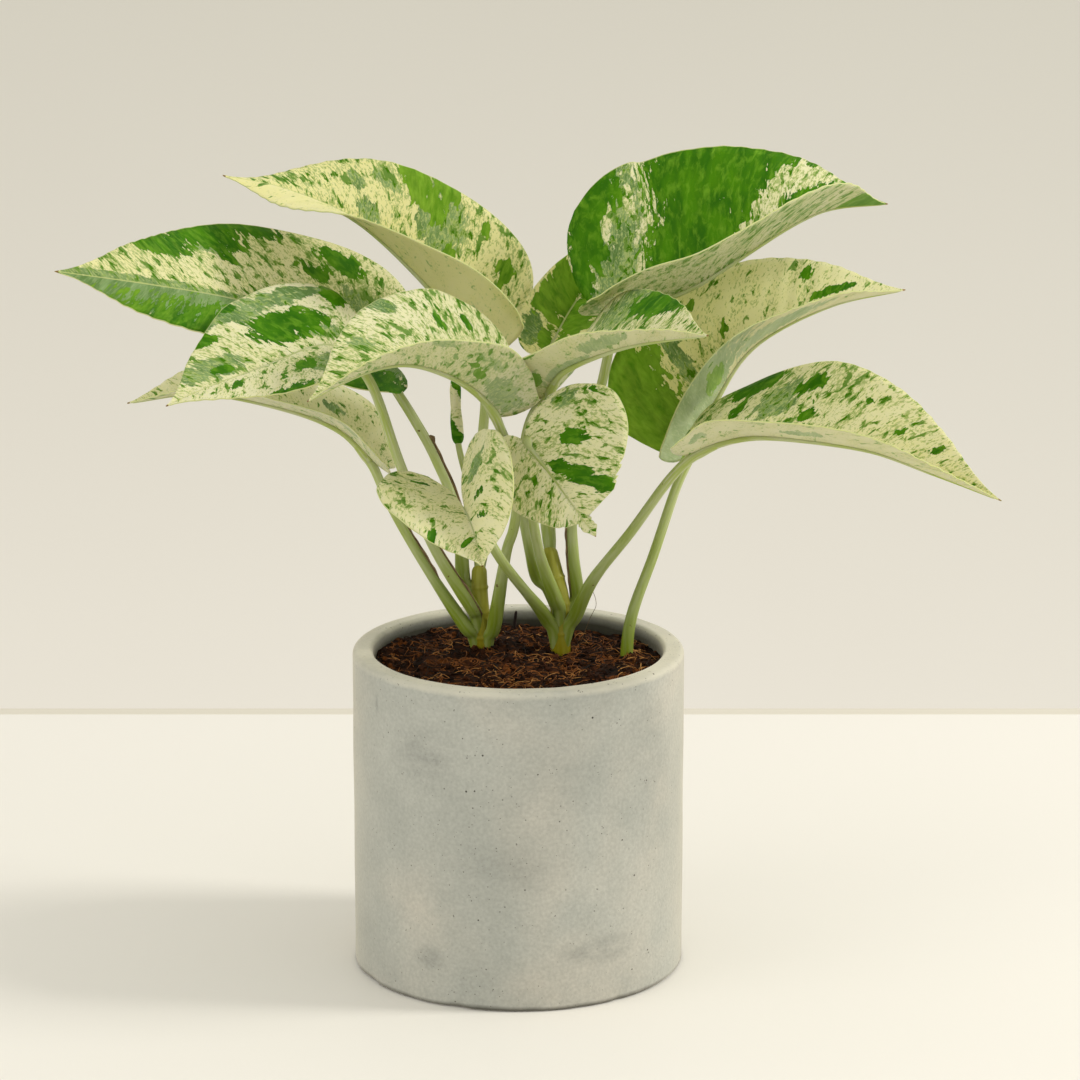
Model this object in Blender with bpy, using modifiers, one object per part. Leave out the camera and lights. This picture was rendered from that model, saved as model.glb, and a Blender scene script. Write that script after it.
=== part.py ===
"""Potted pothos in a cast-concrete cylinder pot.

Units: metres, +Z up.  The origin is the centre of the pot's underside, and the
front of the plant looks along -Y.  Pieces: the pot, the soil plug, two short
stems and one petiole that stand in plain holes in the soil, and for each leaf a
petiole and a blade.  Touching pieces keep a gap of about 0.3 mm.
"""
import math

import bmesh
import bpy
import numpy as np
from mathutils import Vector, noise

MM = 0.001
GAP = 0.3 * MM
WELD = 0.02 * MM

# Pot: a plain cast cup
POT_RADIUS = 55.0 * MM
POT_HEIGHT = 108.0 * MM
POT_WALL = 7.0 * MM
POT_FLOOR = 9.0 * MM
POT_CORNER = 3.0 * MM
POT_RIM_OUTER_ROUND = 2.0 * MM
POT_RIM_INNER_ROUND = 1.6 * MM
POT_FOOT_ROUND = 1.0 * MM
POT_STEPS = 56
RIM_STEPS = 4

# Soil: one plug with a crumbly top.  The grains are waves per metre.
SOIL_RADIUS = POT_RADIUS - POT_WALL - GAP
SOIL_LEVEL = 102.5 * MM
SOIL_CORNER_HEIGHT = POT_CORNER + 0.5 * MM
SOIL_CORNER_INSET = POT_CORNER + 0.2 * MM
SOIL_RINGS = 9
SOIL_SPOKES = 40
SOIL_MOUND = 2.2 * MM
SOIL_MOUND_GRAIN = 28
SOIL_CRUMB = 1.6 * MM
SOIL_CRUMB_GRAIN = 150
SOIL_SEED = 7.0
SOIL_SHARP_DEGREES = 60
HOLE_CUTTER = 40.0 * MM
HOLE_SIDES = 16

# Leaf blades: grid cells across half a blade and along it
BLADE_THICKNESS = 0.7 * MM
CELLS_PER_HALF = 5
CELLS_ALONG = 13
CELLS_ALONG_TORN = 20

# Outline of half a blade, heart shaped with a drawn-out tip.
# Margin: (part of the length, part of the half width), from the lobe to the tip.
MARGIN = ((0.0, 0.74), (0.05, 0.87), (0.13, 0.97), (0.24, 1.0), (0.42, 0.93), (0.6, 0.74),
          (0.78, 0.45), (0.9, 0.19), (1.0, 0.0))
# Back edge of the lobe: (part of the half width, part of the lobe), from the petiole outwards.
LOBE = ((0.0, 0.0), (0.07, -0.55), (0.23, -0.95), (0.43, -1.0), (0.62, -0.72), (0.74, -0.25))
LOBE_FADE = 1.6
WIDEST = 0.24
FRAME_SPAN = 0.05
WAVE_OFFSET = 1.3

# Petioles and stems: all in millimetres, as the routes below.
# Radii are given as (part of the length, radius), the taper as (part of the length, factor).
PETIOLE_FOOT_RADIUS = 2.2
PETIOLE_RADII = ((0.0, PETIOLE_FOOT_RADIUS), (0.35, 1.7), (0.9, 1.7), (0.96, 1.9), (1.0, 1.9))
PETIOLE_POINTS = 11
STEM_POINTS = 6
STEM_TAPER = ((0.0, 1.0), (0.7, 1.0), (1.0, 0.75))
FOOT_RISE = 4.0
FOOT_REACH = 1.4
FOOT_CLEAR = 0.4
TOP_GAP = 0.4
NECK_DROP = 1.15
KNEE_DROP = 3.2

# Rounded tube ends: distance from the end, and part of the full radius there
TUBE_END = ((0.0, 0.35), (0.5, 0.62), (1.5, 0.88))
TUBE_BODY_START = 3.5
TUBE_RESOLUTION = 2


def curve_through(points, samples=240):
    """Return a function of 0..1 (by length) on a smooth curve through the points, and its length."""
    pts = [np.array(p, float) for p in points]
    pts = [2 * pts[0] - pts[1]] + pts + [2 * pts[-1] - pts[-2]]
    trace = []
    per_span = samples // (len(pts) - 3)
    for a, b, c, d in zip(pts, pts[1:], pts[2:], pts[3:]):
        for k in range(per_span):
            t = k / per_span
            trace.append(0.5 * (2 * b + (c - a) * t + (2 * a - 5 * b + 4 * c - d) * t * t
                                + (3 * b - a - 3 * c + d) * t ** 3))
    trace.append(pts[-2])
    trace = np.array(trace)
    steps = np.linalg.norm(np.diff(trace, axis=0), axis=1)
    run = np.concatenate(([0.0], np.cumsum(steps)))

    def at(part):
        return np.array([np.interp(part * run[-1], run, trace[:, k]) for k in range(trace.shape[1])])

    return at, run[-1]


def unit(vector):
    return vector / np.linalg.norm(vector)


def blend(a, b, part):
    return a + (b - a) * part


def through_three(values, part):
    """A smooth value that passes through three: at the start, half way and at the end."""
    start, middle, end = values
    pull = 2 * middle - 0.5 * (start + end)
    return (1 - part) ** 2 * start + 2 * part * (1 - part) * pull + part ** 2 * end


def material(name, colour, roughness):
    mat = bpy.data.materials.new(name)
    mat.use_nodes = True
    shader = mat.node_tree.nodes["Principled BSDF"]
    shader.inputs["Base Color"].default_value = (*colour, 1.0)
    shader.inputs["Roughness"].default_value = roughness
    shader.inputs["Metallic"].default_value = 0.0
    return mat


def add_object(name, data, mat, collection):
    obj = bpy.data.objects.new(name, data)
    data.materials.append(mat)
    collection.objects.link(obj)
    return obj


MARGIN_CURVE, _ = curve_through(MARGIN)
LOBE_CURVE, _ = curve_through(LOBE)


def flat_point(u, t, lobe, belly, full):
    """Place of a grid point on a flat half blade: x across (half widths), y along (lengths)."""
    y_part, x_part = MARGIN_CURVE(t)
    x_part = blend(x_part, 1.0, full * max(0.0, 1.0 - y_part / WIDEST))
    scale = np.array([blend(1.0, 1.0 / LOBE[-1][0], full), lobe])
    lobe_end = np.array(LOBE[-1]) * scale
    edge = np.array([x_part, blend(lobe_end[1], 1.0, max(y_part, 0.0) ** belly)])
    rib = np.array([0.0, t])
    back = LOBE_CURVE(u) * scale - u * lobe_end
    return blend(rib, edge, u) + back * (1.0 - t) ** LOBE_FADE


class Blade:
    """A leaf blade folded along its midrib.

    midrib: points from the petiole to the tip.  face, face_tip: the way the upper
    side looks at the base and at the tip.  left, right: for each half, seen from
    above and looking to the tip, its half width, its rise from flat in degrees at
    the base, the middle and the tip, and its belly: under 1 the widest place
    moves towards the tip, over 1 towards the petiole.
    wave: height, number and start of the margin's waves.  lobe: how far the lobes
    reach back behind the petiole, in parts of the length.  full: how much of the
    full width the lobes have at their ends, from 0 to 1.  nicks: tears in the
    margin, as side, place along it, depth and half span.
    """

    def __init__(self, midrib, face, left, right, face_tip=None, wave=(0.8, 1.6, 0.0), lobe=0.07,
                 full=0.0, cells_along=CELLS_ALONG, nicks=()):
        self.at, self.length = curve_through(midrib)
        self.face = unit(np.array(face, float))
        self.face_tip = unit(np.array(face_tip or face, float))
        self.halves = {-1: left, 1: right}
        self.wave = wave
        self.lobe = lobe
        self.full = full
        self.cells_along = cells_along
        self.nicks = nicks

    def frame(self, part):
        ahead = unit(self.at(min(part + FRAME_SPAN, 1.0)) - self.at(max(part - FRAME_SPAN, 0.0)))
        up = blend(self.face, self.face_tip, part)
        up = unit(up - ahead * np.dot(up, ahead))
        return ahead, up, np.cross(ahead, up)

    def point(self, s, t):
        side = 1 if s >= 0 else -1
        half_width, *rises, belly = self.halves[side]
        x_part, y_part = flat_point(abs(s), t, self.lobe, belly, self.full)
        for nick_side, place, depth, span in self.nicks:
            if nick_side == side:
                x_part *= 1.0 - depth * max(0.0, 1.0 - abs(t - place) / span)
        part = min(max(y_part, 0.0), 1.0)
        ahead, up, right = self.frame(part)
        start = self.at(part) + ahead * min(y_part, 0.0) * self.length
        rise = math.radians(through_three(rises, part))
        height, count, begin = self.wave
        turn = 2 * math.pi * (count * part + begin) + (side < 0) * WAVE_OFFSET
        out = x_part * half_width * math.cos(rise)
        lift = x_part * half_width * math.sin(rise) + height * x_part ** 2 * math.sin(turn)
        return start + right * side * out + up * lift

    def foot(self):
        """The petiole's knee and end, just under the base of the midrib."""
        _, up, _ = self.frame(0.0)
        return [self.at(0.0) - up * KNEE_DROP, self.at(0.0) - up * NECK_DROP]


def build_blade(name, blade, mat, collection):
    mesh = bpy.data.meshes.new(name)
    bm = bmesh.new()
    bmesh.ops.create_grid(bm, x_segments=2 * CELLS_PER_HALF, y_segments=blade.cells_along, size=1.0)
    for vert in bm.verts:
        s = vert.co.x
        t = 0.5 * (vert.co.y + 1.0)
        vert.co = Vector(blade.point(s, t) * MM)
    bmesh.ops.remove_doubles(bm, verts=bm.verts, dist=WELD)
    bmesh.ops.triangulate(bm, faces=bm.faces)
    bm.to_mesh(mesh)
    bm.free()
    mesh.shade_smooth()
    obj = add_object(name, mesh, mat, collection)
    thick = obj.modifiers.new("thickness", "SOLIDIFY")
    thick.thickness = BLADE_THICKNESS
    thick.offset = 0.0
    return obj


def tube_curve(name, route, radii, mat, collection, points=PETIOLE_POINTS):
    """A round tube on a smooth curve through the route (mm) with rounded ends."""
    at, length = curve_through(route)
    start = [(reach / length, factor) for reach, factor in TUBE_END]
    body_start = TUBE_BODY_START / length
    body = [(part, 1.0) for part in np.linspace(body_start, 1.0 - body_start, points)]
    end = [(1.0 - part, factor) for part, factor in reversed(start)]
    parts = start + body + end
    curve = bpy.data.curves.new(name, "CURVE")
    curve.dimensions = "3D"
    curve.bevel_depth = MM
    curve.bevel_resolution = TUBE_RESOLUTION
    curve.use_fill_caps = True
    spline = curve.splines.new("POLY")
    spline.points.add(len(parts) - 1)
    for point, (part, factor) in zip(spline.points, parts):
        radius = np.interp(part, [p for p, _ in radii], [r for _, r in radii])
        point.co = (*(at(part) * MM), 1.0)
        point.radius = radius * factor
    return add_object(name, curve, mat, collection)


# Shoot stems: route from the bottom of the soil hole upwards
STEMS = {
    "stem_left": dict(route=[(-12, 14, 84), (-12, 14, 104), (-13, 14, 118), (-13, 15, 132)], radius=3.2),
    "stem_middle": dict(route=[(14, 15, 84), (14, 15, 104), (14, 16, 117), (10, 20, 137)], radius=3.4),
}

BLADES = {
    "leaf_top_left": Blade(
        midrib=[(-12, 30, 201), (-27, 33, 220), (-52, 38, 243), (-76, 40, 254), (-98, 40, 259)],
        face=(0.1, -0.3, 0.95), left=(33, 78, 38, -24, 0.9), right=(34, 5, 42, -40, 1.15), lobe=0.03,
        wave=(1.2, 1.5, 0.1)),
    "leaf_left": Blade(
        midrib=[(-44, 32, 198), (-69, 28, 212), (-93, 15, 222), (-118, -2, 230), (-148, -15, 237)],
        face=(0, -0.45, 0.9), left=(30, 15, -5, -25, 1), right=(36, 14, 17, 20, 1), wave=(1.0, 1.8, 0.5)),
    "leaf_left_front": Blade(
        midrib=[(-55, -3, 209), (-65, -8, 211), (-82, -28, 208), (-97, -42, 205), (-110, -52, 201)],
        face=(0.28, -0.31, 0.91), left=(28, 20, 17.5, 15, 1), right=(27, 15, 16.5, 18, 1),
        wave=(1.3, 2.0, 0.2)),
    "leaf_front_left": Blade(
        midrib=[(-6, -8, 188), (-12, -16, 197), (-22, -28, 206), (-35, -40, 212), (-48, -54, 212),
                (-65, -68, 206)],
        face=(0.0, -0.05, 1.0), left=(20, 40, 38, 36, 0.75), right=(33, 70, 45, 32, 1.15), lobe=0.03,
        wave=(1.2, 1.7, 0.6)),
    "leaf_centre_right": Blade(
        midrib=[(9, -4, 194), (14, -10, 203), (26, -21, 211), (39, -32, 217), (60, -49, 223)],
        face=(0, 0, 1.0), face_tip=(0.4, 0.1, 0.9), left=(26, 28, 54, 80, 0.75),
        right=(19, 32, 10, 26, 0.9), wave=(1.4, 1.6, 0.45)),
    "leaf_top_right": Blade(
        midrib=[(30, 22, 216), (55, 21, 224), (72, 22, 234), (89, 26, 244), (103, 32, 249), (123, 42, 249)],
        face=(0, -0.41, 0.91), left=(48, 47, 29, 12, 0.9), right=(36, 48, 56, 64, 0.9), lobe=0.08,
        wave=(1.2, 1.5, 0.0)),
    "leaf_right_upper": Blade(
        midrib=[(55, 21, 167), (65, 21, 187), (78, 23, 205), (103, 29, 217), (129, 37, 221)],
        face=(-0.8, -0.39, 0.46), face_tip=(-0.28, -0.39, 0.88), left=(37, 58, 26, 20, 0.9),
        right=(24, 58, 49, 40, 1), lobe=0.02, wave=(1.4, 1.8, 0.7)),
    "leaf_right_lower": Blade(
        midrib=[(55, -16, 177), (66, -18, 182), (80, -24, 185), (110, -38, 184), (130, -44, 178),
                (153, -50, 170)],
        face=(0, -0.22, 0.97), left=(32, -6, 43, 62, 1.1), right=(27, 34, 37, 40, 1), lobe=0.02,
        wave=(1.0, 1.5, 0.3)),
    "leaf_small_front_left": Blade(
        midrib=[(-17, -28, 162), (-14, -41, 158), (-11, -52, 149)],
        face=(-0.1, -0.5, 0.85), left=(30, 60, 50, 34, 1), right=(31, 30, 26, 20, 1), lobe=0.58, full=0.65,
        wave=(1.0, 1.6, 0.25)),
    "leaf_small_front_right": Blade(
        midrib=[(3, -18, 181), (11, -26, 172), (16, -31, 166), (25, -38, 155)],
        face=(-0.1, -0.9, 0.3), left=(33, 5, 5, 5, 1), right=(18, -15, -2.5, 10, 1), lobe=0.2, full=0.4,
        cells_along=CELLS_ALONG_TORN,
        nicks=((-1, 0.5, 0.1, 0.05), (-1, 0.62, 0.14, 0.05), (-1, 0.8, 0.65, 0.1), (1, 0.78, 0.35, 0.08))),
    "leaf_back_centre": Blade(
        midrib=[(10, 41, 199), (18, 46, 213), (28, 50, 225), (44, 54, 235)],
        face=(-0.3, -0.9, 0.2), left=(15, 20, 20, 20, 1), right=(20, 45, 37.5, 30, 1)),
    "leaf_left_low": Blade(
        midrib=[(-48, 33, 163), (-60, 35, 174), (-80, 37, 181), (-107, 40, 185), (-132, 43, 181)],
        face=(0, -0.1, 1.0), left=(24, 30, 25, 20, 1), right=(26, 0, 17.5, 35, 1)),
}

# Petioles: the stem that carries it, where on the stem (part of its height) and
# in which direction (degrees from +X towards +Y), and the points on its way up.
# The right one comes straight out of the soil, from its root point.
PETIOLES = {
    "petiole_left_low": dict(
        stem="stem_left", part=0.5, turn=200, blade="leaf_left_low",
        way=[(-30, 18, 129), (-42, 26, 148)]),
    "petiole_left_front": dict(
        stem="stem_left", part=0.66, turn=240, blade="leaf_left_front",
        way=[(-29, 9, 142), (-39, 3, 170), (-47, 0, 195)]),
    "petiole_left": dict(
        stem="stem_left", part=0.82, turn=170, blade="leaf_left",
        way=[(-20, 18, 148), (-28, 24, 167), (-35, 28, 179), (-42, 31, 190)]),
    "petiole_top_left": dict(
        stem="stem_left", part=1.0, turn=None, blade="leaf_top_left",
        way=[(-12, 20, 143), (-13, 24, 154), (-12, 26, 172), (-11, 28, 187)]),
    "petiole_centre_right": dict(
        stem="stem_left", part=0.5, turn=320, blade="leaf_centre_right",
        way=[(-4, 2, 139), (-1, -3, 151), (2, -6, 177), (5, -6, 188)]),
    "petiole_front_left": dict(
        stem="stem_middle", part=0.74, turn=190, blade="leaf_front_left",
        way=[(4, 11, 138), (1, 8, 153), (-2, 2, 171)]),
    "petiole_small_front_left": dict(
        stem="stem_middle", part=0.48, turn=218, blade="leaf_small_front_left",
        way=[(7, 7, 119), (3, 0, 126), (-3, -12, 137), (-7, -19, 145), (-12, -24, 155)]),
    "petiole_small_front_right": dict(
        stem="stem_middle", part=0.62, turn=260, blade="leaf_small_front_right",
        way=[(7, 3, 139), (4, -7, 160)]),
    "petiole_right_lower": dict(
        stem="stem_middle", part=0.5, turn=320, blade="leaf_right_lower",
        way=[(25, 4, 130), (37, -4, 148), (48, -12, 166)]),
    "petiole_right_upper": dict(
        root=(36, 7, 86), blade="leaf_right_upper",
        way=[(36, 7, 103), (38, 9, 117), (45, 13, 136), (52, 19, 156)]),
    "petiole_top_right": dict(
        stem="stem_middle", part=0.6, turn=10, blade="leaf_top_right",
        way=[(18, 18, 135), (18, 20, 150), (23, 22, 174), (27, 23, 189), (30, 23, 204)]),
    "petiole_back_centre": dict(
        stem="stem_middle", part=1.0, turn=None, blade="leaf_back_centre",
        way=[(9, 27, 155), (9, 34, 177)]),
}

# The young leaf is still rolled into a spindle, on a thin petiole of its own
YOUNG_PETIOLE = [(-15.4, 25.3, 153.5), (-18, 28, 161), (-20, 30, 169)]
YOUNG_PETIOLE_RADII = ((0.0, 1.3), (1.0, 1.0))
YOUNG_PETIOLE_POINTS = 4
YOUNG_LEAF = [(-20.1, 30.1, 169.5), (-21, 34, 180), (-21, 37, 193)]
YOUNG_LEAF_RADII = ((0.0, 0.9), (0.25, 1.8), (0.6, 2.1), (0.85, 1.5), (1.0, 0.7))
YOUNG_LEAF_POINTS = 7


def foot_points(stem, part, turn):
    """Where a petiole starts: just off the stem's surface and leaning away, or above its top."""
    at, length = curve_through(STEMS[stem]["route"])
    if turn is None:
        return [at(part) + unit(at(part) - at(part - FRAME_SPAN)) * TOP_GAP]
    angle = math.radians(turn)
    out = np.array([math.cos(angle), math.sin(angle), 0.0])
    taper = np.interp(part, [p for p, _ in STEM_TAPER], [f for _, f in STEM_TAPER])
    clear = STEMS[stem]["radius"] * taper + GAP / MM
    low = at(part) + out * (clear + FOOT_REACH)
    high = at(part + FOOT_RISE / length) + out * (clear + PETIOLE_FOOT_RADIUS + FOOT_CLEAR)
    return [low, high]


def build_petiole(name, spec, mat, collection):
    if "root" in spec:
        start = [spec["root"]]
    else:
        start = foot_points(spec["stem"], spec["part"], spec["turn"])
    route = start + spec["way"] + BLADES[spec["blade"]].foot()
    return tube_curve(name, route, PETIOLE_RADII, mat, collection)


def pot_profile():
    """Points from the middle of the cup's floor up over the rim and down to the foot."""
    inner = POT_RADIUS - POT_WALL
    profile = [(0.0, POT_FLOOR), (inner - POT_CORNER, POT_FLOOR), (inner, POT_FLOOR + POT_CORNER)]
    for k in range(RIM_STEPS):
        angle = math.pi / 2 * (2 - k / (RIM_STEPS - 1))
        profile.append((inner + POT_RIM_INNER_ROUND * (1 + math.cos(angle)),
                        POT_HEIGHT + POT_RIM_INNER_ROUND * (math.sin(angle) - 1)))
    for k in range(RIM_STEPS):
        angle = math.pi / 2 * (1 - k / (RIM_STEPS - 1))
        profile.append((POT_RADIUS + POT_RIM_OUTER_ROUND * (math.cos(angle) - 1),
                        POT_HEIGHT + POT_RIM_OUTER_ROUND * (math.sin(angle) - 1)))
    return profile + [(POT_RADIUS, POT_FOOT_ROUND), (POT_RADIUS - POT_FOOT_ROUND, 0.0), (0.0, 0.0)]


def build_pot(mat, collection):
    mesh = bpy.data.meshes.new("pot")
    bm = bmesh.new()
    verts = [bm.verts.new((x, 0.0, z)) for x, z in pot_profile()]
    for a, b in zip(verts, verts[1:]):
        bm.edges.new((a, b))
    bm.to_mesh(mesh)
    bm.free()
    pot = add_object("pot", mesh, mat, collection)
    turn = pot.modifiers.new("turn", "SCREW")
    turn.steps = POT_STEPS
    turn.render_steps = POT_STEPS
    turn.use_merge_vertices = True
    turn.merge_threshold = 0.1 * MM
    turn.use_smooth_shade = True
    return pot


def soil_height(x, y):
    """Height of the soil's crumbly top over a point, in metres."""
    mound = noise.noise(Vector((x * SOIL_MOUND_GRAIN, y * SOIL_MOUND_GRAIN, SOIL_SEED)))
    crumb = noise.noise(Vector((x * SOIL_CRUMB_GRAIN, y * SOIL_CRUMB_GRAIN, SOIL_SEED)))
    return SOIL_LEVEL + SOIL_MOUND * mound + SOIL_CRUMB * crumb


def soil_mesh():
    """A closed plug: a disc with a relief, its wall, and a bevelled bottom."""
    mesh = bpy.data.meshes.new("soil")
    bm = bmesh.new()
    bmesh.ops.create_circle(bm, cap_ends=True, cap_tris=True, segments=SOIL_SPOKES, radius=SOIL_RADIUS)
    spokes = [e for e in bm.edges if any(v.co.length < MM for v in e.verts)]
    bmesh.ops.subdivide_edges(bm, edges=spokes, cuts=SOIL_RINGS - 1, use_grid_fill=False)
    for vert in bm.verts:
        vert.co.z = soil_height(vert.co.x, vert.co.y)
    rim = [e for e in bm.edges if e.is_boundary]
    wall = bmesh.ops.extrude_edge_only(bm, edges=rim)["geom"]
    for vert in wall:
        if isinstance(vert, bmesh.types.BMVert):
            vert.co.z = POT_FLOOR + SOIL_CORNER_HEIGHT
    bottom = bmesh.ops.contextual_create(bm, geom=[e for e in bm.edges if e.is_boundary])["faces"]
    bmesh.ops.inset_region(bm, faces=bottom, thickness=SOIL_CORNER_INSET)
    for vert in bottom[0].verts:
        vert.co.z = POT_FLOOR + GAP
    bmesh.ops.triangulate(bm, faces=bm.faces)
    bmesh.ops.recalc_face_normals(bm, faces=bm.faces)
    bm.to_mesh(mesh)
    bm.free()
    mesh.shade_smooth()
    mesh.set_sharp_from_angle(angle=math.radians(SOIL_SHARP_DEGREES))
    return mesh


def drill_hole(soil, name, root, radius, cutter_collection):
    """Cut a plain round hole in the soil for a stem that stands on the root point (mm)."""
    x, y, z = (value * MM for value in root)
    bpy.ops.mesh.primitive_cylinder_add(vertices=HOLE_SIDES, radius=radius * MM + GAP, depth=HOLE_CUTTER,
                                        location=(x, y, z - GAP + HOLE_CUTTER / 2))
    hole = bpy.context.object
    hole.name = "hole_for_" + name
    hole.hide_render = True
    hole.display_type = "WIRE"
    for owner in hole.users_collection:
        owner.objects.unlink(hole)
    cutter_collection.objects.link(hole)
    cut = soil.modifiers.new("hole_for_" + name, "BOOLEAN")
    cut.object = hole
    cut.operation = "DIFFERENCE"
    cut.solver = "EXACT"


def build_soil(mat, collection, cutter_collection):
    soil = add_object("soil", soil_mesh(), mat, collection)
    for name, stem in STEMS.items():
        drill_hole(soil, name, stem["route"][0], stem["radius"], cutter_collection)
    for name, spec in PETIOLES.items():
        if "root" in spec:
            drill_hole(soil, name, spec["root"], PETIOLE_FOOT_RADIUS, cutter_collection)
    return soil


def build():
    for obj in list(bpy.data.objects):
        bpy.data.objects.remove(obj, do_unlink=True)
    plant = bpy.data.collections.new("potted_pothos")
    cutters = bpy.data.collections.new("cutters")
    bpy.context.scene.collection.children.link(plant)
    bpy.context.scene.collection.children.link(cutters)
    concrete = material("cast_concrete", (0.36, 0.36, 0.33), 0.85)
    coir = material("coir_soil", (0.075, 0.03, 0.016), 0.95)
    stem_green = material("stem_green", (0.25, 0.33, 0.1), 0.5)
    petiole_green = material("petiole_green", (0.42, 0.52, 0.2), 0.45)
    blade_cream = material("marbled_blade", (0.55, 0.6, 0.3), 0.4)
    build_pot(concrete, plant)
    build_soil(coir, plant, cutters)
    for name, stem in STEMS.items():
        radii = [(part, stem["radius"] * factor) for part, factor in STEM_TAPER]
        tube_curve(name, stem["route"], radii, stem_green, plant, points=STEM_POINTS)
    for name, spec in PETIOLES.items():
        build_petiole(name, spec, petiole_green, plant)
    for name, blade in BLADES.items():
        build_blade(name, blade, blade_cream, plant)
    tube_curve("petiole_young", YOUNG_PETIOLE, YOUNG_PETIOLE_RADII, petiole_green, plant,
               points=YOUNG_PETIOLE_POINTS)
    tube_curve("leaf_young", YOUNG_LEAF, YOUNG_LEAF_RADII, blade_cream, plant, points=YOUNG_LEAF_POINTS)


build()
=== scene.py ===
# %% [markdown]
# # A marbled pothos in a concrete pot
# This script dresses the imported model of a potted pothos: leaves marbled in cream and green,
# pale petioles, fibrous soil and a cast-concrete cup, on a white table before a beige wall.
# It shows how far simple grids go: a leaf, a petiole and a rolled leaf are each one flat
# grid whose points are moved by a formula, and the same grid gives the pattern its coordinates.
# The first lines load the imported model.

# %% Load the imported model
import math
import random

import bmesh
import bpy
import numpy as np
from mathutils import Matrix, Vector, noise


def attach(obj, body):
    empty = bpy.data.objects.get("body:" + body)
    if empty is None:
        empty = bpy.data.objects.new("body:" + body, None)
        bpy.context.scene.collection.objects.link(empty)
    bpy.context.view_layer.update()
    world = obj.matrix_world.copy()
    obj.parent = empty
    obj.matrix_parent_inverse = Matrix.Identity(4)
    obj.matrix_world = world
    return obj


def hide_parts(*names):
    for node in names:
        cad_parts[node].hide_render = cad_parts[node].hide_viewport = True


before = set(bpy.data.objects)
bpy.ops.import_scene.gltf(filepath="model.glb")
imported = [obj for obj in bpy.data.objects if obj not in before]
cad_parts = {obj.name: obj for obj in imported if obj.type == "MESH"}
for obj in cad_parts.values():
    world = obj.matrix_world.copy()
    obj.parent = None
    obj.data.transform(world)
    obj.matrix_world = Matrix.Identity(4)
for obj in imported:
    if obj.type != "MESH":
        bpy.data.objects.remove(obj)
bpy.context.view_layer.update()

MM = 0.001
WELD = 0.02 * MM

# %% [markdown]
# ## A few small helpers
# Colours are picked as sRGB hex values, as a colour picker shows them, but shaders work
# with linear light, so one function turns the one into the other.
# A node tree is easy to read when each line makes one node and names what feeds it. The
# function add does that: it makes a node, sets its properties, fills or links its inputs
# and returns the output that the next node needs.


# %% Colours and nodes
def srgb(code):
    """Linear RGBA from a hex code such as "e8e0b0"."""
    parts = [int(code[k:k + 2], 16) / 255 for k in (0, 2, 4)]
    return (*[p / 12.92 if p <= 0.04045 else ((p + 0.055) / 1.055) ** 2.4 for p in parts], 1.0)


def add(tree, kind, inputs=None, output=0, **settings):
    """Add a node; inputs maps a socket to a value, a hex colour or another node's output."""
    node = tree.nodes.new("ShaderNode" + kind)
    for key, value in settings.items():
        setattr(node, key, value)
    for key, value in (inputs or {}).items():
        if isinstance(value, bpy.types.NodeSocket):
            tree.links.new(value, node.inputs[key])
        else:
            node.inputs[key].default_value = srgb(value) if isinstance(value, str) else value
    return node.outputs[output] if len(node.outputs) else None


print("cream in linear light:", [round(c, 3) for c in srgb("e8e0b0")])

# %% [markdown]
# ## Chains of nodes
# Three chains come back in most materials, so loops make them: coats of colour that lie over
# each other, each shown where some value is high, a sum that weighs several values, and the
# bump, shader and output that close a material.


# %% Chains of nodes
def coated(tree, colour, *coats):
    """Lay coats on a colour; each is a value, where it starts, where it is full, and its colour."""
    for value, start, full, coat in coats:
        part = add(tree, "MapRange", {"Value": value, "From Min": start, "From Max": full})
        colour = add(tree, "Mix", {0: part, 6: colour, 7: coat}, 2, data_type="RGBA")
    return colour


def summed(tree, total, *terms):
    """total + value * factor, for each term of a value and a factor."""
    for value, factor in terms:
        total = add(tree, "Math", {0: value, 1: factor, 2: total}, operation="MULTIPLY_ADD")
    return total


def new_material(name):
    mat = bpy.data.materials.new(name)
    mat.use_nodes = True
    mat.node_tree.nodes.clear()
    return mat, mat.node_tree


def close_material(tree, colour, inputs, relief=None, strength=0.5, depth=0.2):
    """Add the shader and the output, and a bump of this depth in mm where there is a relief."""
    inputs = {"Base Color": colour, **inputs}
    if relief is not None:
        inputs["Normal"] = add(tree, "Bump", {"Height": relief, "Strength": strength,
                                              "Distance": depth * MM})
    add(tree, "OutputMaterial", {"Surface": add(tree, "BsdfPrincipled", inputs)})


print("helpers for chains of nodes are ready")

# %% [markdown]
# ## Pieces
# A shape is worked on as a bmesh and then written to a mesh. Each finished piece rides on the
# model's only body and stands for the CAD nodes that it replaces.


# %% Pieces
def as_mesh(bm, name, smooth=True):
    """Write a bmesh to a new mesh and free it."""
    mesh = bpy.data.meshes.new(name)
    bm.to_mesh(mesh)
    bm.free()
    if smooth:
        mesh.shade_smooth()
    return mesh


def piece(data, materials, slot=None, *nodes):
    """Put a mesh or curve in the scene as a piece of the plant that stands for these CAD nodes."""
    obj = bpy.data.objects.new(data.name, data)
    bpy.context.scene.collection.objects.link(obj)
    for mat in materials:
        data.materials.append(mat)
    if slot:
        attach(obj, "root")
    if nodes:
        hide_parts(*nodes)
    return obj


print("helpers for pieces are ready")

# %% [markdown]
# ## The camera
# The camera stands 1.3 m in front of the pot and a little above the leaves. It looks down by
# 14.4 degrees. A long lens of 136 mm keeps the pot's sides nearly parallel, as on a product shot.

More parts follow.
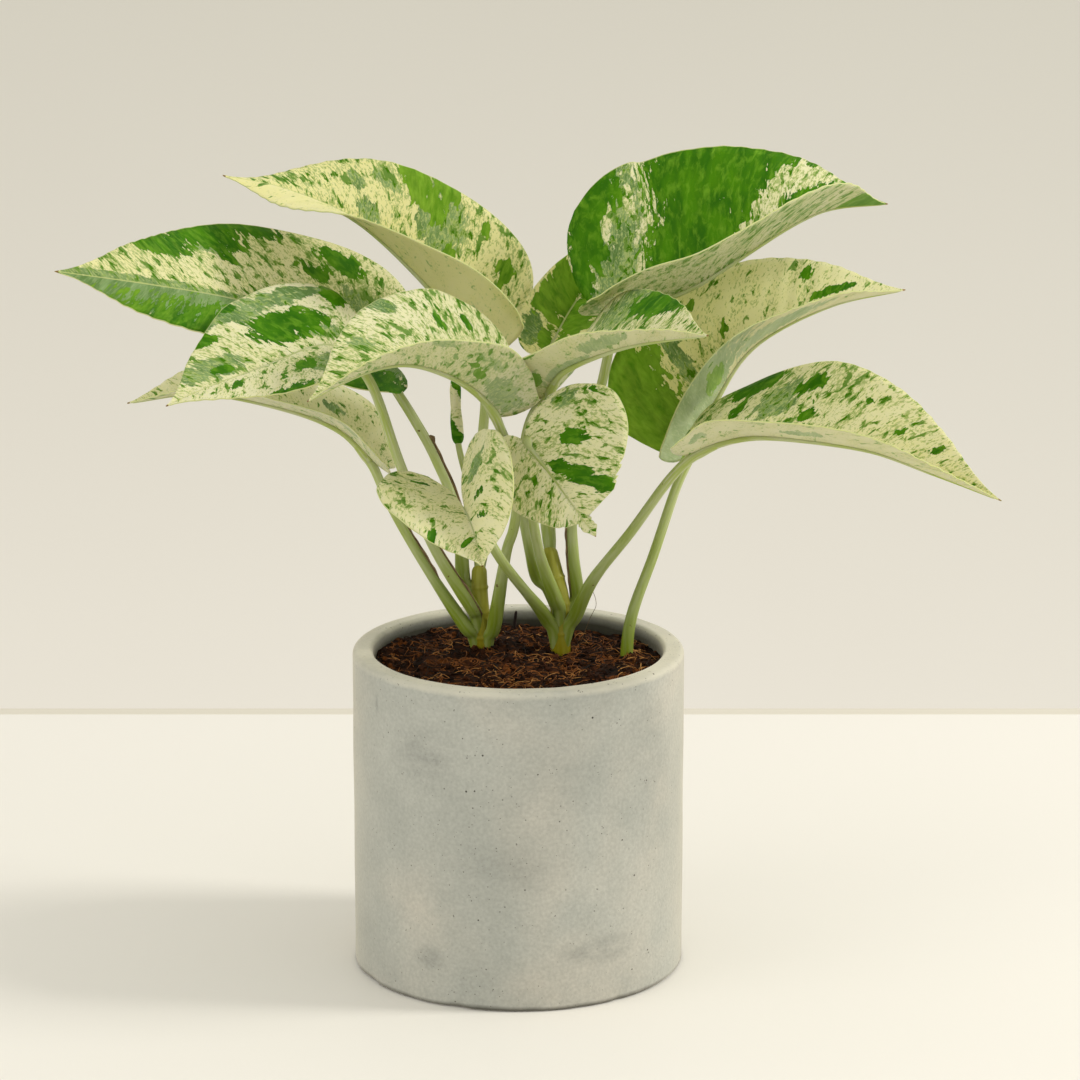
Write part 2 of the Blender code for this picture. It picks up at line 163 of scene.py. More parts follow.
# %% Camera
LENS, LOOK_DOWN = 136.1, 14.4
camera_data = bpy.data.cameras.new("camera")
camera_data.lens = LENS
camera_data.sensor_width = 36.0
camera = bpy.data.objects.new("camera", camera_data)
camera.location = (0.0072, -1.30, 0.478)
camera.rotation_euler = (math.radians(90 - LOOK_DOWN), 0, 0)
bpy.context.scene.collection.objects.link(camera)
bpy.context.scene.camera = camera
print("field of view:", round(math.degrees(camera_data.angle), 1), "degrees")

# %% [markdown]
# ## Table and wall
# The set is plain: a white table top that ends in a straight edge behind the plant, where a thin
# darker strip is painted shade, and a beige wall far enough back that a camera can walk all around the
# plant.
# The wall is painted a little darker towards the top: painted shade, the way a backdrop looks in window
# light.
# Both get a faint mottling, since a perfectly even surface looks like a drawing.


# %% Table and wall
# the heights in metres between which the bottom's tone turns to the top's; on the wall the darker top is
# painted shade
PAINT_FADE = (-0.73, 0.02)


def painted(name, light, shade, roughness, grain):
    """Matt paint in soft clouds of two close tones, each given for the bottom and for the top."""
    mat, tree = new_material(name)
    place = add(tree, "TexCoord", output="Object")
    height = add(tree, "SeparateXYZ", {"Vector": place}, "Z")
    tones = [coated(tree, low, (height, *PAINT_FADE, high)) for low, high in (light, shade)]
    clouds = add(tree, "TexNoise", {"Vector": place, "Scale": 1.5, "Detail": 3.0})
    fine = add(tree, "TexNoise", {"Vector": place, "Scale": grain, "Detail": 2.0})
    colour = coated(tree, tones[0], (clouds, 0.0, 1.0, tones[1]))
    close_material(tree, colour, {"Roughness": roughness, "IOR": 1.45}, fine, 0.15)
    return mat


def slab(name, low, high, edge, mat):
    """A box between two corners (metres) with rounded edges."""
    low, high = Vector(low), Vector(high)
    bm = bmesh.new()
    bmesh.ops.create_cube(bm, size=1.0)
    bmesh.ops.scale(bm, verts=bm.verts, vec=high - low)
    bmesh.ops.translate(bm, verts=bm.verts, vec=(high + low) / 2)
    bmesh.ops.bevel(bm, geom=bm.edges, offset=edge, affect="EDGES", segments=3, profile=0.5, material=-1)
    piece(as_mesh(bm, name, smooth=False), [mat])


slab("table_top", (-1.1, -1.0, -0.03), (1.1, 0.28, 0.0), 0.0015,
     painted("table_paint", ("eeebe3", "eeebe3"), ("e9e6dd", "e9e6dd"), 0.5, 900))
# the wall's tones darken towards the top: painted shade
slab("wall", (-3.6, 2.6, -2.0), (3.6, 2.62, 2.6), 0.001,
     painted("wall_paint", ("f3efe5", "dad7cb"), ("eee9de", "d6d2c6"), 0.8, 300))
# a thin darker strip along the table's back edge: painted shade
slab("table_edge_shade_strip", (-1.1, 0.28, -0.03), (1.1, 0.29, -0.0005), 0.0015,
     painted("table_edge_painted_shade", ("dad5c6", "dad5c6"), ("d6d0c0", "d6d0c0"), 0.6, 900))

# %% [markdown]
# ## Light
# The photo has one soft window on the right, level with the plant and about 40 degrees up, so
# the shadow falls straight to the left. A disc-shaped area lamp gives such a soft edge. The
# window's light is nearly white, and so is the world colour that fills the shadows. A wide,
# weak lamp in front on the left lights the blades that turn away from the window.


# %% Light
def lamp(name, place, aim, size, power, colour):
    """A round soft lamp; place, aim and size in metres, power in watts."""
    data = bpy.data.lights.new(name, "AREA")
    data.shape = "DISK"
    data.size = size
    data.energy = power
    data.color = srgb(colour)[:3]
    obj = bpy.data.objects.new(name, data)
    obj.location = place
    obj.rotation_euler = (Vector(aim) - Vector(place)).to_track_quat("-Z", "Y").to_euler()
    bpy.context.scene.collection.objects.link(obj)


lamp("window", (1.5, -0.08, 1.25), (0.0, 0.0, 0.12), 0.4, 18.2, "fffcf6")
lamp("room_fill", (-1.6, -0.9, 0.8), (0.0, 0.0, 0.12), 1.4, 7, "faf8f4")
world = bpy.data.worlds.new("room_light")
world.use_nodes = True
world.node_tree.nodes["Background"].inputs["Color"].default_value = srgb("f8f6f1")
world.node_tree.nodes["Background"].inputs["Strength"].default_value = 0.91
bpy.context.scene.world = world
bpy.context.scene.view_settings.view_transform = "Standard"

# %% [markdown]
# ## Cast concrete
# The cup is cast concrete: cement paste poured against a smooth mould. The skin is matt and
# light grey, with cloudy tones of greenish and pinkish grey where the paste dried unevenly,
# fine sand in it, and small round pits where air bubbles sat on the mould.
# Each of these is one texture. Clouds are wide noise of a few centimetres, the sand is fine
# noise, and the pits are cells of a Voronoi texture, of which only a few are kept. Smudges
# sit where hands and water left them, so each one is a soft ball of darker tone with a place;
# one more such ball, on the upper right, is the leaves' shadow painted onto the pot.
# Typical values are an IOR of 1.5 and a roughness near 0.85. A little sheen stands for the
# fine dust on it, which makes the pot paler towards both sides.


# %% Cast concrete
POT_RADIUS, POT_HEIGHT, POT_WALL, POT_FLOOR = 55.0, 108.0, 7.0, 9.0
POT_BORE = POT_RADIUS - POT_WALL
# smudges and one painted leaf shadow: middle in mm, half width and half height in mm, and how dark; the
# fourth, on the upper right, is the shadow of the leaves above, painted
SMUDGES_AND_LEAF_SHADOW = (((-30, -46, 84), 17, 14, 0.55), ((27, -48, 19), 17, 6, 0.8), ((-29, -47, 16), 7, 5, 0.7),
           ((44, -33, 80), 13, 26, 0.35), ((-45.5, -30, 97), 1.3, 5, 0.8), ((0, -55, 48), 20, 9, 0.3))
# air pits: cells in a metre, the noise from which a cell opens, how wide it gets, and how dark; the dark is
# painted shade inside the pits
AIR_PITS = ((330.0, 0.49, 0.14, 1.0), (820.0, 0.5, 0.24, 0.6))
MORE_PITS_AT_RIM = 0.09


def cast_concrete():
    mat, tree = new_material("cast_concrete")
    place = add(tree, "TexCoord", output="Object")
    height = add(tree, "SeparateXYZ", {"Vector": place}, "Z")
    clouds = add(tree, "TexNoise", {"Vector": place, "Scale": 22.0, "Detail": 5.0, "Roughness": 0.6})
    tint = add(tree, "TexNoise", {"Vector": place, "Scale": 13.0, "Detail": 2.0, "Distortion": 0.6})
    sand = add(tree, "TexNoise", {"Vector": place, "Scale": 900.0, "Detail": 3.0})
    paste = coated(tree, "b1b2a8", (tint, 0.42, 0.62, "bfbaac"))
    colour = coated(tree, "a0a299", (clouds, 0.3, 0.66, paste))
    # smudges and one painted leaf shadow: soft balls of darker tone, broken up by a noise drawn out sideways
    wiped = add(tree, "Mapping", {"Vector": place, "Scale": (70.0, 70.0, 170.0)})
    streaks = add(tree, "TexNoise", {"Vector": wiped, "Scale": 1.0, "Detail": 5.0, "Roughness": 0.7})
    broken = add(tree, "MapRange", {"Value": streaks, "From Min": 0.3, "From Max": 0.7})
    for (x, y, z), wide, high, dark in SMUDGES_AND_LEAF_SHADOW:
        ball = add(tree, "Mapping", {"Vector": place, "Location": (-x / wide, -y / wide, -z / high),
                                     "Scale": (1 / (wide * MM), 1 / (wide * MM), 1 / (high * MM))})
        near = add(tree, "TexGradient", {"Vector": ball}, gradient_type="SPHERICAL")
        soft = add(tree, "MapRange", {"Value": near, "From Max": 0.7, "To Max": dark})
        part = add(tree, "Math", {0: soft, 1: broken}, operation="MULTIPLY")
        colour = coated(tree, colour, (part, 0.0, 1.0, "7d7f79"))
    grains = add(tree, "MapRange", {"Value": sand, "From Min": 0.3, "From Max": 0.7,
                                    "To Min": 0.9, "To Max": 1.08})
    body = add(tree, "Mix", {0: 1.0, 6: colour, 7: grains}, 2, data_type="RGBA", blend_type="MULTIPLY")
    # the rim is paler: partly rubbed wear, partly painted light on its top, which faces up
    ragged_height = summed(tree, height, (streaks, 1.6 * MM))
    edge = add(tree, "MapRange", {"Value": ragged_height, "From Min": (POT_HEIGHT - 1.8) * MM,
                                  "From Max": (POT_HEIGHT - 0.4) * MM})
    wear_and_light_patches = add(tree, "MapRange", {"Value": clouds, "From Min": 0.35, "From Max": 0.6,
                                  "To Min": 0.25, "To Max": 0.85})
    rubbed_and_lit_rim = add(tree, "Math", {0: edge, 1: wear_and_light_patches}, operation="MULTIPLY")
    # the inside near the soil is darker as painted shade, and the foot's edge is darker in a ragged band at
    # the bottom
    across = add(tree, "Mapping", {"Vector": place, "Scale": (1.0, 1.0, 0.0)})
    reach = add(tree, "VectorMath", {0: across}, "Value", operation="LENGTH")
    inner = add(tree, "MapRange", {"Value": reach, "From Min": (POT_BORE + 1.2) * MM,
                                   "From Max": (POT_BORE + 0.2) * MM})
    low = add(tree, "MapRange", {"Value": ragged_height, "From Min": (POT_HEIGHT + 0.2) * MM,
                                 "From Max": (POT_HEIGHT - 3.5) * MM})
    # painted shade on the inner wall just above the soil
    painted_inner_shade = add(tree, "Math", {0: inner, 1: low}, operation="MULTIPLY")
    uneven = summed(tree, height, (clouds, 3.0 * MM))
    colour = coated(tree, body, (rubbed_and_lit_rim, 0.0, 1.0, "cfcbb8"), (painted_inner_shade, 0.0, 1.0, "3a392c"),
                    (uneven, 3.4 * MM, 2.0 * MM, "55554c"))
    # air pits in two sizes; the noise keeps only some cells, and more of them near the paler rim
    relief = sand
    for cells_per_m, lowest, widest, dark in AIR_PITS:
        cells = add(tree, "TexVoronoi", {"Vector": place, "Scale": cells_per_m})
        noisy = add(tree, "TexNoise", {"Vector": place, "Scale": cells_per_m / 2, "Detail": 1.0})
        keep = summed(tree, noisy, (rubbed_and_lit_rim, MORE_PITS_AT_RIM))
        size = add(tree, "MapRange", {"Value": keep, "From Min": lowest, "From Max": lowest + 0.2,
                                      "To Max": widest})
        inside = add(tree, "Math", {0: size, 1: cells}, operation="SUBTRACT")
        # a pit's dark colour is painted shade inside the hole
        pit = add(tree, "MapRange", {"Value": inside, "From Max": 0.05, "To Max": dark})
        colour = coated(tree, colour, (pit, 0.0, 1.0, "403e37"))
        relief = add(tree, "Math", {0: relief, 1: pit}, operation="SUBTRACT")
    close_material(tree, colour, {"Roughness": 0.86, "IOR": 1.5, "Sheen Weight": 0.75,
                                  "Sheen Roughness": 0.4, "Sheen Tint": "f2ead8"}, relief)
    return mat


concrete = cast_concrete()
print(concrete.name, "has", len(concrete.node_tree.nodes), "nodes")

# %% [markdown]
# ## The pot
# A turned shape: half of the cup's cut is drawn as a line and spun around the axis.
# Cast concrete is never quite even, so after the spin each point moves inwards by up to
# 0.3 mm of noise, and the foot's edge, which is always knocked, loses some chips.
# Points only move inwards, so the pot keeps its 110 by 108 mm.

# %% Pot
POT_TURN_STEPS = 200
# in mm: how round the rim's edges are, how uneven the cast, and the chips at the foot
INNER_LIP, OUTER_LIP = 1.6, 2.0
CAST_UNEVEN, RIM_UNEVEN = 0.3, 0.25
FOOT_BAND, CHIP_DEPTH = 2.6, 2.4
# measured from the axis: the floor's middle stays even, and the outside starts in the wall
EVEN_MIDDLE, OUTSIDE_FROM = 40.0, 50.0


def pot_line():
    """Half of the cup's cut in mm, from the middle of the inside floor to the middle of the foot."""
    line = [(0.0, POT_FLOOR), (POT_BORE * 0.5, POT_FLOOR), (POT_BORE - 3.0, POT_FLOOR),
            (POT_BORE - 0.9, POT_FLOOR + 0.9), (POT_BORE, POT_FLOOR + 3.0)]
    line += [(POT_BORE, z) for z in np.linspace(30.0, 96.0, 8)]
    for angle in np.linspace(math.pi, math.pi / 2, 7):
        line.append((POT_BORE + INNER_LIP * (1 + math.cos(angle)),
                     POT_HEIGHT + INNER_LIP * (math.sin(angle) - 1)))
    flat = POT_WALL - INNER_LIP - OUTER_LIP
    line += [(POT_BORE + INNER_LIP + part * flat, POT_HEIGHT) for part in (0.25, 0.5, 0.75)]
    for angle in np.linspace(math.pi / 2, 0, 7):
        line.append((POT_RADIUS + OUTER_LIP * (math.cos(angle) - 1),
                     POT_HEIGHT + OUTER_LIP * (math.sin(angle) - 1)))
    line += [(POT_RADIUS, z) for z in (*np.linspace(103.0, 4.0, 46), 3.0, 2.2, 1.5, 0.9)]
    return line + [(POT_RADIUS - 0.4, 0.35), (POT_RADIUS - 1.0, 0.0), (POT_RADIUS - 4.0, 0.0), (0.0, 0.0)]


def build_pot():
    bm = bmesh.new()
    verts = [bm.verts.new((x * MM, 0.0, z * MM)) for x, z in pot_line()]
    line = [bm.edges.new(pair) for pair in zip(verts, verts[1:])]
    bmesh.ops.spin(bm, geom=verts + line, cent=(0, 0, 0), axis=(0, 0, 1), angle=2 * math.pi,
                   steps=POT_TURN_STEPS, use_merge=True)
    bmesh.ops.remove_doubles(bm, verts=bm.verts, dist=WELD)
    bmesh.ops.recalc_face_normals(bm, faces=bm.faces)
    for vert in bm.verts:
        place = vert.co.copy()
        flat = Vector((place.x, place.y, 0.0))
        if flat.length < EVEN_MIDDLE * MM:
            continue
        outside = flat.length > OUTSIDE_FROM * MM
        inward = CAST_UNEVEN * MM * (0.5 + 0.5 * noise.noise(place * 45))
        if place.z < FOOT_BAND * MM:
            chip = max(0.0, noise.noise(Vector((place.x * 130, place.y * 130, 3.0))) - 0.12)
            inward += CHIP_DEPTH * MM * chip * (1 - place.z / (FOOT_BAND * MM)) * outside
        vert.co -= flat.normalized() * (inward if outside else -inward * 0.3)
        if place.z > (POT_HEIGHT - 1.0) * MM:
            vert.co.z -= RIM_UNEVEN * MM * (0.5 + 0.5 * noise.noise(place * 120))
    return piece(as_mesh(bm, "concrete_pot"), [concrete], "concrete", "pot")


pot = build_pot()
print("pot:", len(pot.data.polygons), "faces")

# %% [markdown]
# ## Smooth lines
# Stems, petioles, midribs and fibres all follow a smooth line through a few points.
# A Catmull-Rom curve passes through all of them, and reading it by its length spaces the
# rings of a tube evenly. Curve objects could do this too, but here the same line also
# carries the leaf blades, so a small function serves both.


# %% Smooth lines
def curve_through(points, samples=240):
    """Return a function of 0..1 (by length) on a smooth curve through the points, and its length."""
    pts = [np.array(p, float) for p in points]
    pts = [2 * pts[0] - pts[1]] + pts + [2 * pts[-1] - pts[-2]]
    trace = []
    per_span = samples // (len(pts) - 3)
    for a, b, c, d in zip(pts, pts[1:], pts[2:], pts[3:]):
        for k in range(per_span):
            t = k / per_span
            trace.append(0.5 * (2 * b + (c - a) * t + (2 * a - 5 * b + 4 * c - d) * t * t
                                + (3 * b - a - 3 * c + d) * t ** 3))
    trace.append(pts[-2])
    trace = np.array(trace)
    steps = np.linalg.norm(np.diff(trace, axis=0), axis=1)
    run = np.concatenate(([0.0], np.cumsum(steps)))

    def at(part):
        return np.array([np.interp(part * run[-1], run, trace[:, k]) for k in range(trace.shape[1])])

    return at, run[-1]


def unit(vector):
    return vector / np.linalg.norm(vector)


def direction(at, part, span):
    """The way a line runs at a part of it, read between two points that far before and after."""
    return unit(at(min(part + span, 1.0)) - at(max(part - span, 0.0)))


def squared(vector, ahead):
    """A direction turned until it stands square to another one."""
    return unit(vector - ahead * np.dot(vector, ahead))


def within(value):
    return min(max(value, 0.0), 1.0)


def blend(a, b, part):
    return a + (b - a) * part


def through_three(values, part):
    """A smooth value that passes through three: at the start, half way and at the end."""
    start, middle, end = values
    pull = 2 * middle - 0.5 * (start + end)
    return (1 - part) ** 2 * start + 2 * part * (1 - part) * pull + part ** 2 * end


def steps_between(pairs, part):
    """Read a value from (part, value) pairs."""
    return float(np.interp(part, [p for p, _ in pairs], [v for _, v in pairs]))


print("half way along an arc:", curve_through([(0, 0, 0), (10, 0, 5), (20, 0, 0)])[0](0.5))

# %% [markdown]
# ## One flat grid for everything that grows
# Leaves, petioles and the rolled leaf are all made the same way: a flat grid of faces, made
# with one operator, whose points are then moved to their places. The grid's own two
# coordinates also become the UV map, in centimetres along and across the piece, so that
# streaks can follow the growth. Points that meet are merged, which closes a tube's seam
# and its two ends.


# %% Grid helper
FRONT = (0.0, -1.0, 0.0)


def shaped_grid(name, across, along, place, flow, closed=False, marks=None):
    """A grid whose points go to place(x, part) in mm, with x from -1 to 1 and part from 0 to 1.

    flow(x, part): the UV map in cm.  marks: names of point attributes and their functions.
    """
    bm = bmesh.new()
    bmesh.ops.create_grid(bm, x_segments=across, y_segments=along, size=1.0)
    uv = bm.loops.layers.uv.new("flow")
    layers = {mark: bm.verts.layers.float.new(mark) for mark in (marks or {})}
    for face in bm.faces:
        for loop in face.loops:
            loop[uv].uv = flow(loop.vert.co.x, 0.5 * (loop.vert.co.y + 1))
    for vert in bm.verts:
        x, part = vert.co.x, 0.5 * (vert.co.y + 1)
        for mark, layer in layers.items():
            vert[layer] = marks[mark](x, part)
        vert.co = Vector(place(x, part)) * MM
    bmesh.ops.remove_doubles(bm, verts=bm.verts, dist=WELD)
    if closed:
        bmesh.ops.recalc_face_normals(bm, faces=bm.faces)
    return as_mesh(bm, name)


def thicken(obj, thickness):
    """Give a sheet its thickness in mm, half of it to each side."""
    solid = obj.modifiers.new("thickness", "SOLIDIFY")
    solid.thickness = thickness * MM
    solid.offset = 0.0
    return solid


def grown_tube(name, route, radius, around=18, along=60, girth=None):
    """A closed round tube along a smooth line (mm).  radius(part), girth(turn, part): a factor."""
    at, length = curve_through(route)
    side = None
    rings = []
    for k in range(along + 1):
        even = k / along
        part = blend(even, 0.5 - 0.5 * math.cos(math.pi * even), 0.5)
        ahead = direction(at, part, 0.02)
        side = squared(np.cross(ahead, FRONT) if side is None else side, ahead)
        end = min(part, 1 - part) * length / max(radius(part), 0.01)
        closing = math.sqrt(max(0.0, 1 - (1 - min(end, 1.0)) ** 2))
        rings.append((at(part), side, np.cross(side, ahead), radius(part) * closing, part))

    def place(x, share):
        centre, right, front, reach, part = rings[round(share * along)]
        turn = math.pi * x
        reach *= girth(x, part) if girth else 1.0
        return centre + (front * math.cos(turn) + right * math.sin(turn)) * reach

    def flow(x, share):
        part = rings[round(share * along)][4]
        return part * length / 10, x * math.pi * radius(part) / 10

    return shaped_grid(name, around, along, place, flow, closed=True)


print("grid helper ready")

# %% [markdown]
# ## The soil
# The pot is filled with coir, the ground husk of coconuts: dark crumbs with a mat of curly
# red-brown fibres on top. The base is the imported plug's own form made finer: a disc with
# rings, raised by noise, and a wall down to the pot's floor.
# The crumbs are many copies of one small, dented lump of 20 faces, in a single mesh.


# %% Soil plug and crumbs
SOIL_RADIUS, SOIL_LEVEL, SOIL_SEED = 47.7, 102.5, 7.0
CRUMB_REACH = 46.5


def soil_height(x, y):
    """Height in mm of the soil over a point in mm: a mound, crumbs and fine grit."""
    mound, crumb, grit = [noise.noise(Vector((x * scale, y * scale, SOIL_SEED)))
                          for scale in (0.028, 0.15, 0.45)]
    return SOIL_LEVEL + 2.2 * mound + 1.6 * crumb + 0.7 * grit


def scattered(draw, reach):
    """A random place in mm on a disc, with the same chance everywhere."""
    out, turn = reach * math.sqrt(draw.random()), draw.uniform(0, 2 * math.pi)
    return out * math.cos(turn), out * math.sin(turn)


def coir_soil():
    """Moist coir: near-black gaps, dull brown crumbs and here and there a rust-red chip."""
    mat, tree = new_material("coir_soil")
    place = add(tree, "TexCoord", output="Object")
    lumps = add(tree, "TexNoise", {"Vector": place, "Scale": 260.0, "Detail": 4.0, "Roughness": 0.7})
    spots = add(tree, "TexNoise", {"Vector": place, "Scale": 170.0, "Detail": 3.0, "Roughness": 0.6})
    colour = coated(tree, "0b0502", (lumps, 0.38, 0.68, "40200b"), (spots, 0.56, 0.66, "6b3b14"))
    close_material(tree, colour, {"Roughness": 0.9, "IOR": 1.4, "Specular IOR Level": 0.2}, lumps, 0.8, 0.6)
    return mat


def build_soil():
    bm = bmesh.new()
    bmesh.ops.create_circle(bm, cap_ends=True, cap_tris=True, segments=160, radius=SOIL_RADIUS * MM)
    spokes = [e for e in bm.edges if any(v.co.length < MM for v in e.verts)]
    bmesh.ops.subdivide_edges(bm, edges=spokes, cuts=44, use_grid_fill=False)
    for vert in bm.verts:
        vert.co.z = soil_height(vert.co.x / MM, vert.co.y / MM) * MM
    rim = [e for e in bm.edges if e.is_boundary]
    wall = bmesh.ops.extrude_edge_only(bm, edges=rim)["geom"]
    for vert in (g for g in wall if isinstance(g, bmesh.types.BMVert)):
        vert.co.z = (POT_FLOOR + 3.5) * MM
    bottom = bmesh.ops.contextual_create(bm, geom=[e for e in bm.edges if e.is_boundary])["faces"]
    bmesh.ops.inset_region(bm, faces=bottom, thickness=3.2 * MM)
    for vert in bottom[0].verts:
        vert.co.z = (POT_FLOOR + 0.3) * MM
    bmesh.ops.recalc_face_normals(bm, faces=bm.faces)
    return piece(as_mesh(bm, "coir_plug"), [soil_material], "soil", "soil")


def build_crumbs(count=800, seed=5):
    """Small dented lumps that lie on the soil."""
    draw = random.Random(seed)
    bm = bmesh.new()
    for _ in range(count):
        x, y = scattered(draw, CRUMB_REACH)
        size = draw.uniform(0.5, 1.9)
        made = bmesh.ops.create_icosphere(bm, subdivisions=1, radius=size * MM)["verts"]
        spin = Matrix.Rotation(draw.uniform(0, 6.3), 3, Vector([draw.uniform(-1, 1) for _ in range(3)]))
        for vert in made:
            vert.co *= draw.uniform(0.65, 1.15)
        bmesh.ops.scale(bm, verts=made, vec=(1.0, draw.uniform(0.5, 1.0), draw.uniform(0.4, 0.8)))
        bmesh.ops.rotate(bm, verts=made, cent=(0, 0, 0), matrix=spin)
        bmesh.ops.translate(bm, verts=made, vec=Vector((x, y, soil_height(x, y) + 0.15 * size)) * MM)
    return piece(as_mesh(bm, "coir_crumbs", smooth=False), [soil_material], "soil")


soil_material = coir_soil()
soil = build_soil()
crumbs = build_crumbs()
print("soil:", len(soil.data.polygons), "faces, crumbs:", len(crumbs.data.polygons))

# %% [markdown]
# ## Coir fibres
# The fibres are 0.2 to 0.4 mm thick and up to 15 mm long, curled and lying over each other.
# One curve object with a thin round bevel can hold hundreds of them, each one spline of a
# few points, so every fibre costs only a few dozen faces. Three such objects in three tones
# give the mix of dark, red-brown and straw-coloured fibres. They lie in loose tufts, with bare
# dark crumbs between: a wide noise decides where a fibre may start.


# %% Coir fibres
FIBRE_REACH, FIBRE_STEP = 46.0, 1.3
LAST_REACH = 47.0


def fibre_material(name, dark, light):
    """Dry husk fibre: silky but dull, lighter where it has frayed."""
    mat, tree = new_material(name)
    place = add(tree, "TexCoord", output="Object")
    patches = add(tree, "TexNoise", {"Vector": place, "Scale": 380.0, "Detail": 2.0})
    colour = coated(tree, dark, (patches, 0.35, 0.65, light))
    close_material(tree, colour, {"Roughness": 0.65, "IOR": 1.5, "Specular IOR Level": 0.2})
    return mat


def build_fibres(name, tries, thick, mat, seed, lift, bare):
    """Curled fibres on the soil; thick and lift (how far they stand off) in mm, bare: -1 to 1."""
    draw = random.Random(seed)
    curve = bpy.data.curves.new(name, "CURVE")
    curve.dimensions = "3D"
    curve.bevel_depth = thick / 2 * MM
    curve.bevel_resolution = 0
    curve.use_fill_caps = True
    for _ in range(tries):
        x, y = scattered(draw, FIBRE_REACH)
        if noise.noise(Vector((x * 0.09, y * 0.09, seed))) < bare:
            continue
        heading, curl, arch = draw.uniform(0, 6.3), draw.uniform(-0.8, 0.8), draw.uniform(0.0, lift)
        spline = curve.splines.new("POLY")
        number = draw.randint(5, 9)
        spline.points.add(number - 1)
        for k, point in enumerate(spline.points):
            z = soil_height(x, y) + 0.2 + arch * math.sin(math.pi * k / (number - 1))
            point.co = (x * MM, y * MM, z * MM, 1.0)
            point.radius = draw.uniform(0.7, 1.2)
            heading += curl + draw.uniform(-0.5, 0.5)
            x, y = x + FIBRE_STEP * math.cos(heading), y + FIBRE_STEP * math.sin(heading)
            too_far = max(1.0, math.hypot(x, y) / LAST_REACH)
            x, y = x / too_far, y / too_far
    return piece(curve, [mat], "soil")


build_fibres("fibres_dark", 420, 0.34, fibre_material("coir_dark", "140a04", "2e190b"), 11, 0.8, -0.5)
build_fibres("fibres_red", 780, 0.32, fibre_material("coir_red", "45250e", "8c5423"), 12, 1.2, 0.0)
build_fibres("fibres_straw", 380, 0.26, fibre_material("coir_straw", "864f20", "c08c50"), 13, 1.6, 0.06)
print("fibres:", sum(len(c.splines) for c in bpy.data.curves if c.name.startswith("fibres")))

# %% [markdown]
# ## Marbled leaf tissue
# A marble pothos leaf is cream where the cells have no chlorophyll. Where a thin layer of
# green lies deep in the tissue it looks grey-green, and where all layers are green it is
# deep green. Each patch grew out from a few cells and was drawn out along the side veins,
# so its edge is sharp but frayed in that direction, and small flecks lie around it.
# The material therefore stacks four layers: cream, grey-green zones, deep patches and
# flecks. All of them are noise that is stretched along the flow UV map (u across the side
# veins, v along them). Rough places of the big patches come from point attributes, and
# where the cream is warm the green is lighter too: partly the leaf's own tone, partly painted light on
# blades that lie in the shade of other leaves.
# The upper side has a soft wax gloss. Light passes through the 0.4 mm thin tissue, which
# a little subsurface scattering shows. The underside is the same tissue, paler and duller.


# %% Leaf material
MARKS = ("deep", "grey", "fleck", "warm_and_lit", "rib", "edge", "dry")


def stretched_noise(tree, flow, across, along, detail, seed, rough=0.55):
    """Noise with features 1/across cm wide and 1/along cm long."""
    place = add(tree, "Mapping", {"Vector": flow, "Location": (seed, seed * 1.7, seed),
                                  "Scale": (across, along, 1.0)})
    return add(tree, "TexNoise", {"Vector": place, "Scale": 1.0, "Detail": detail, "Roughness": rough,
                                  "Distortion": 0.45})


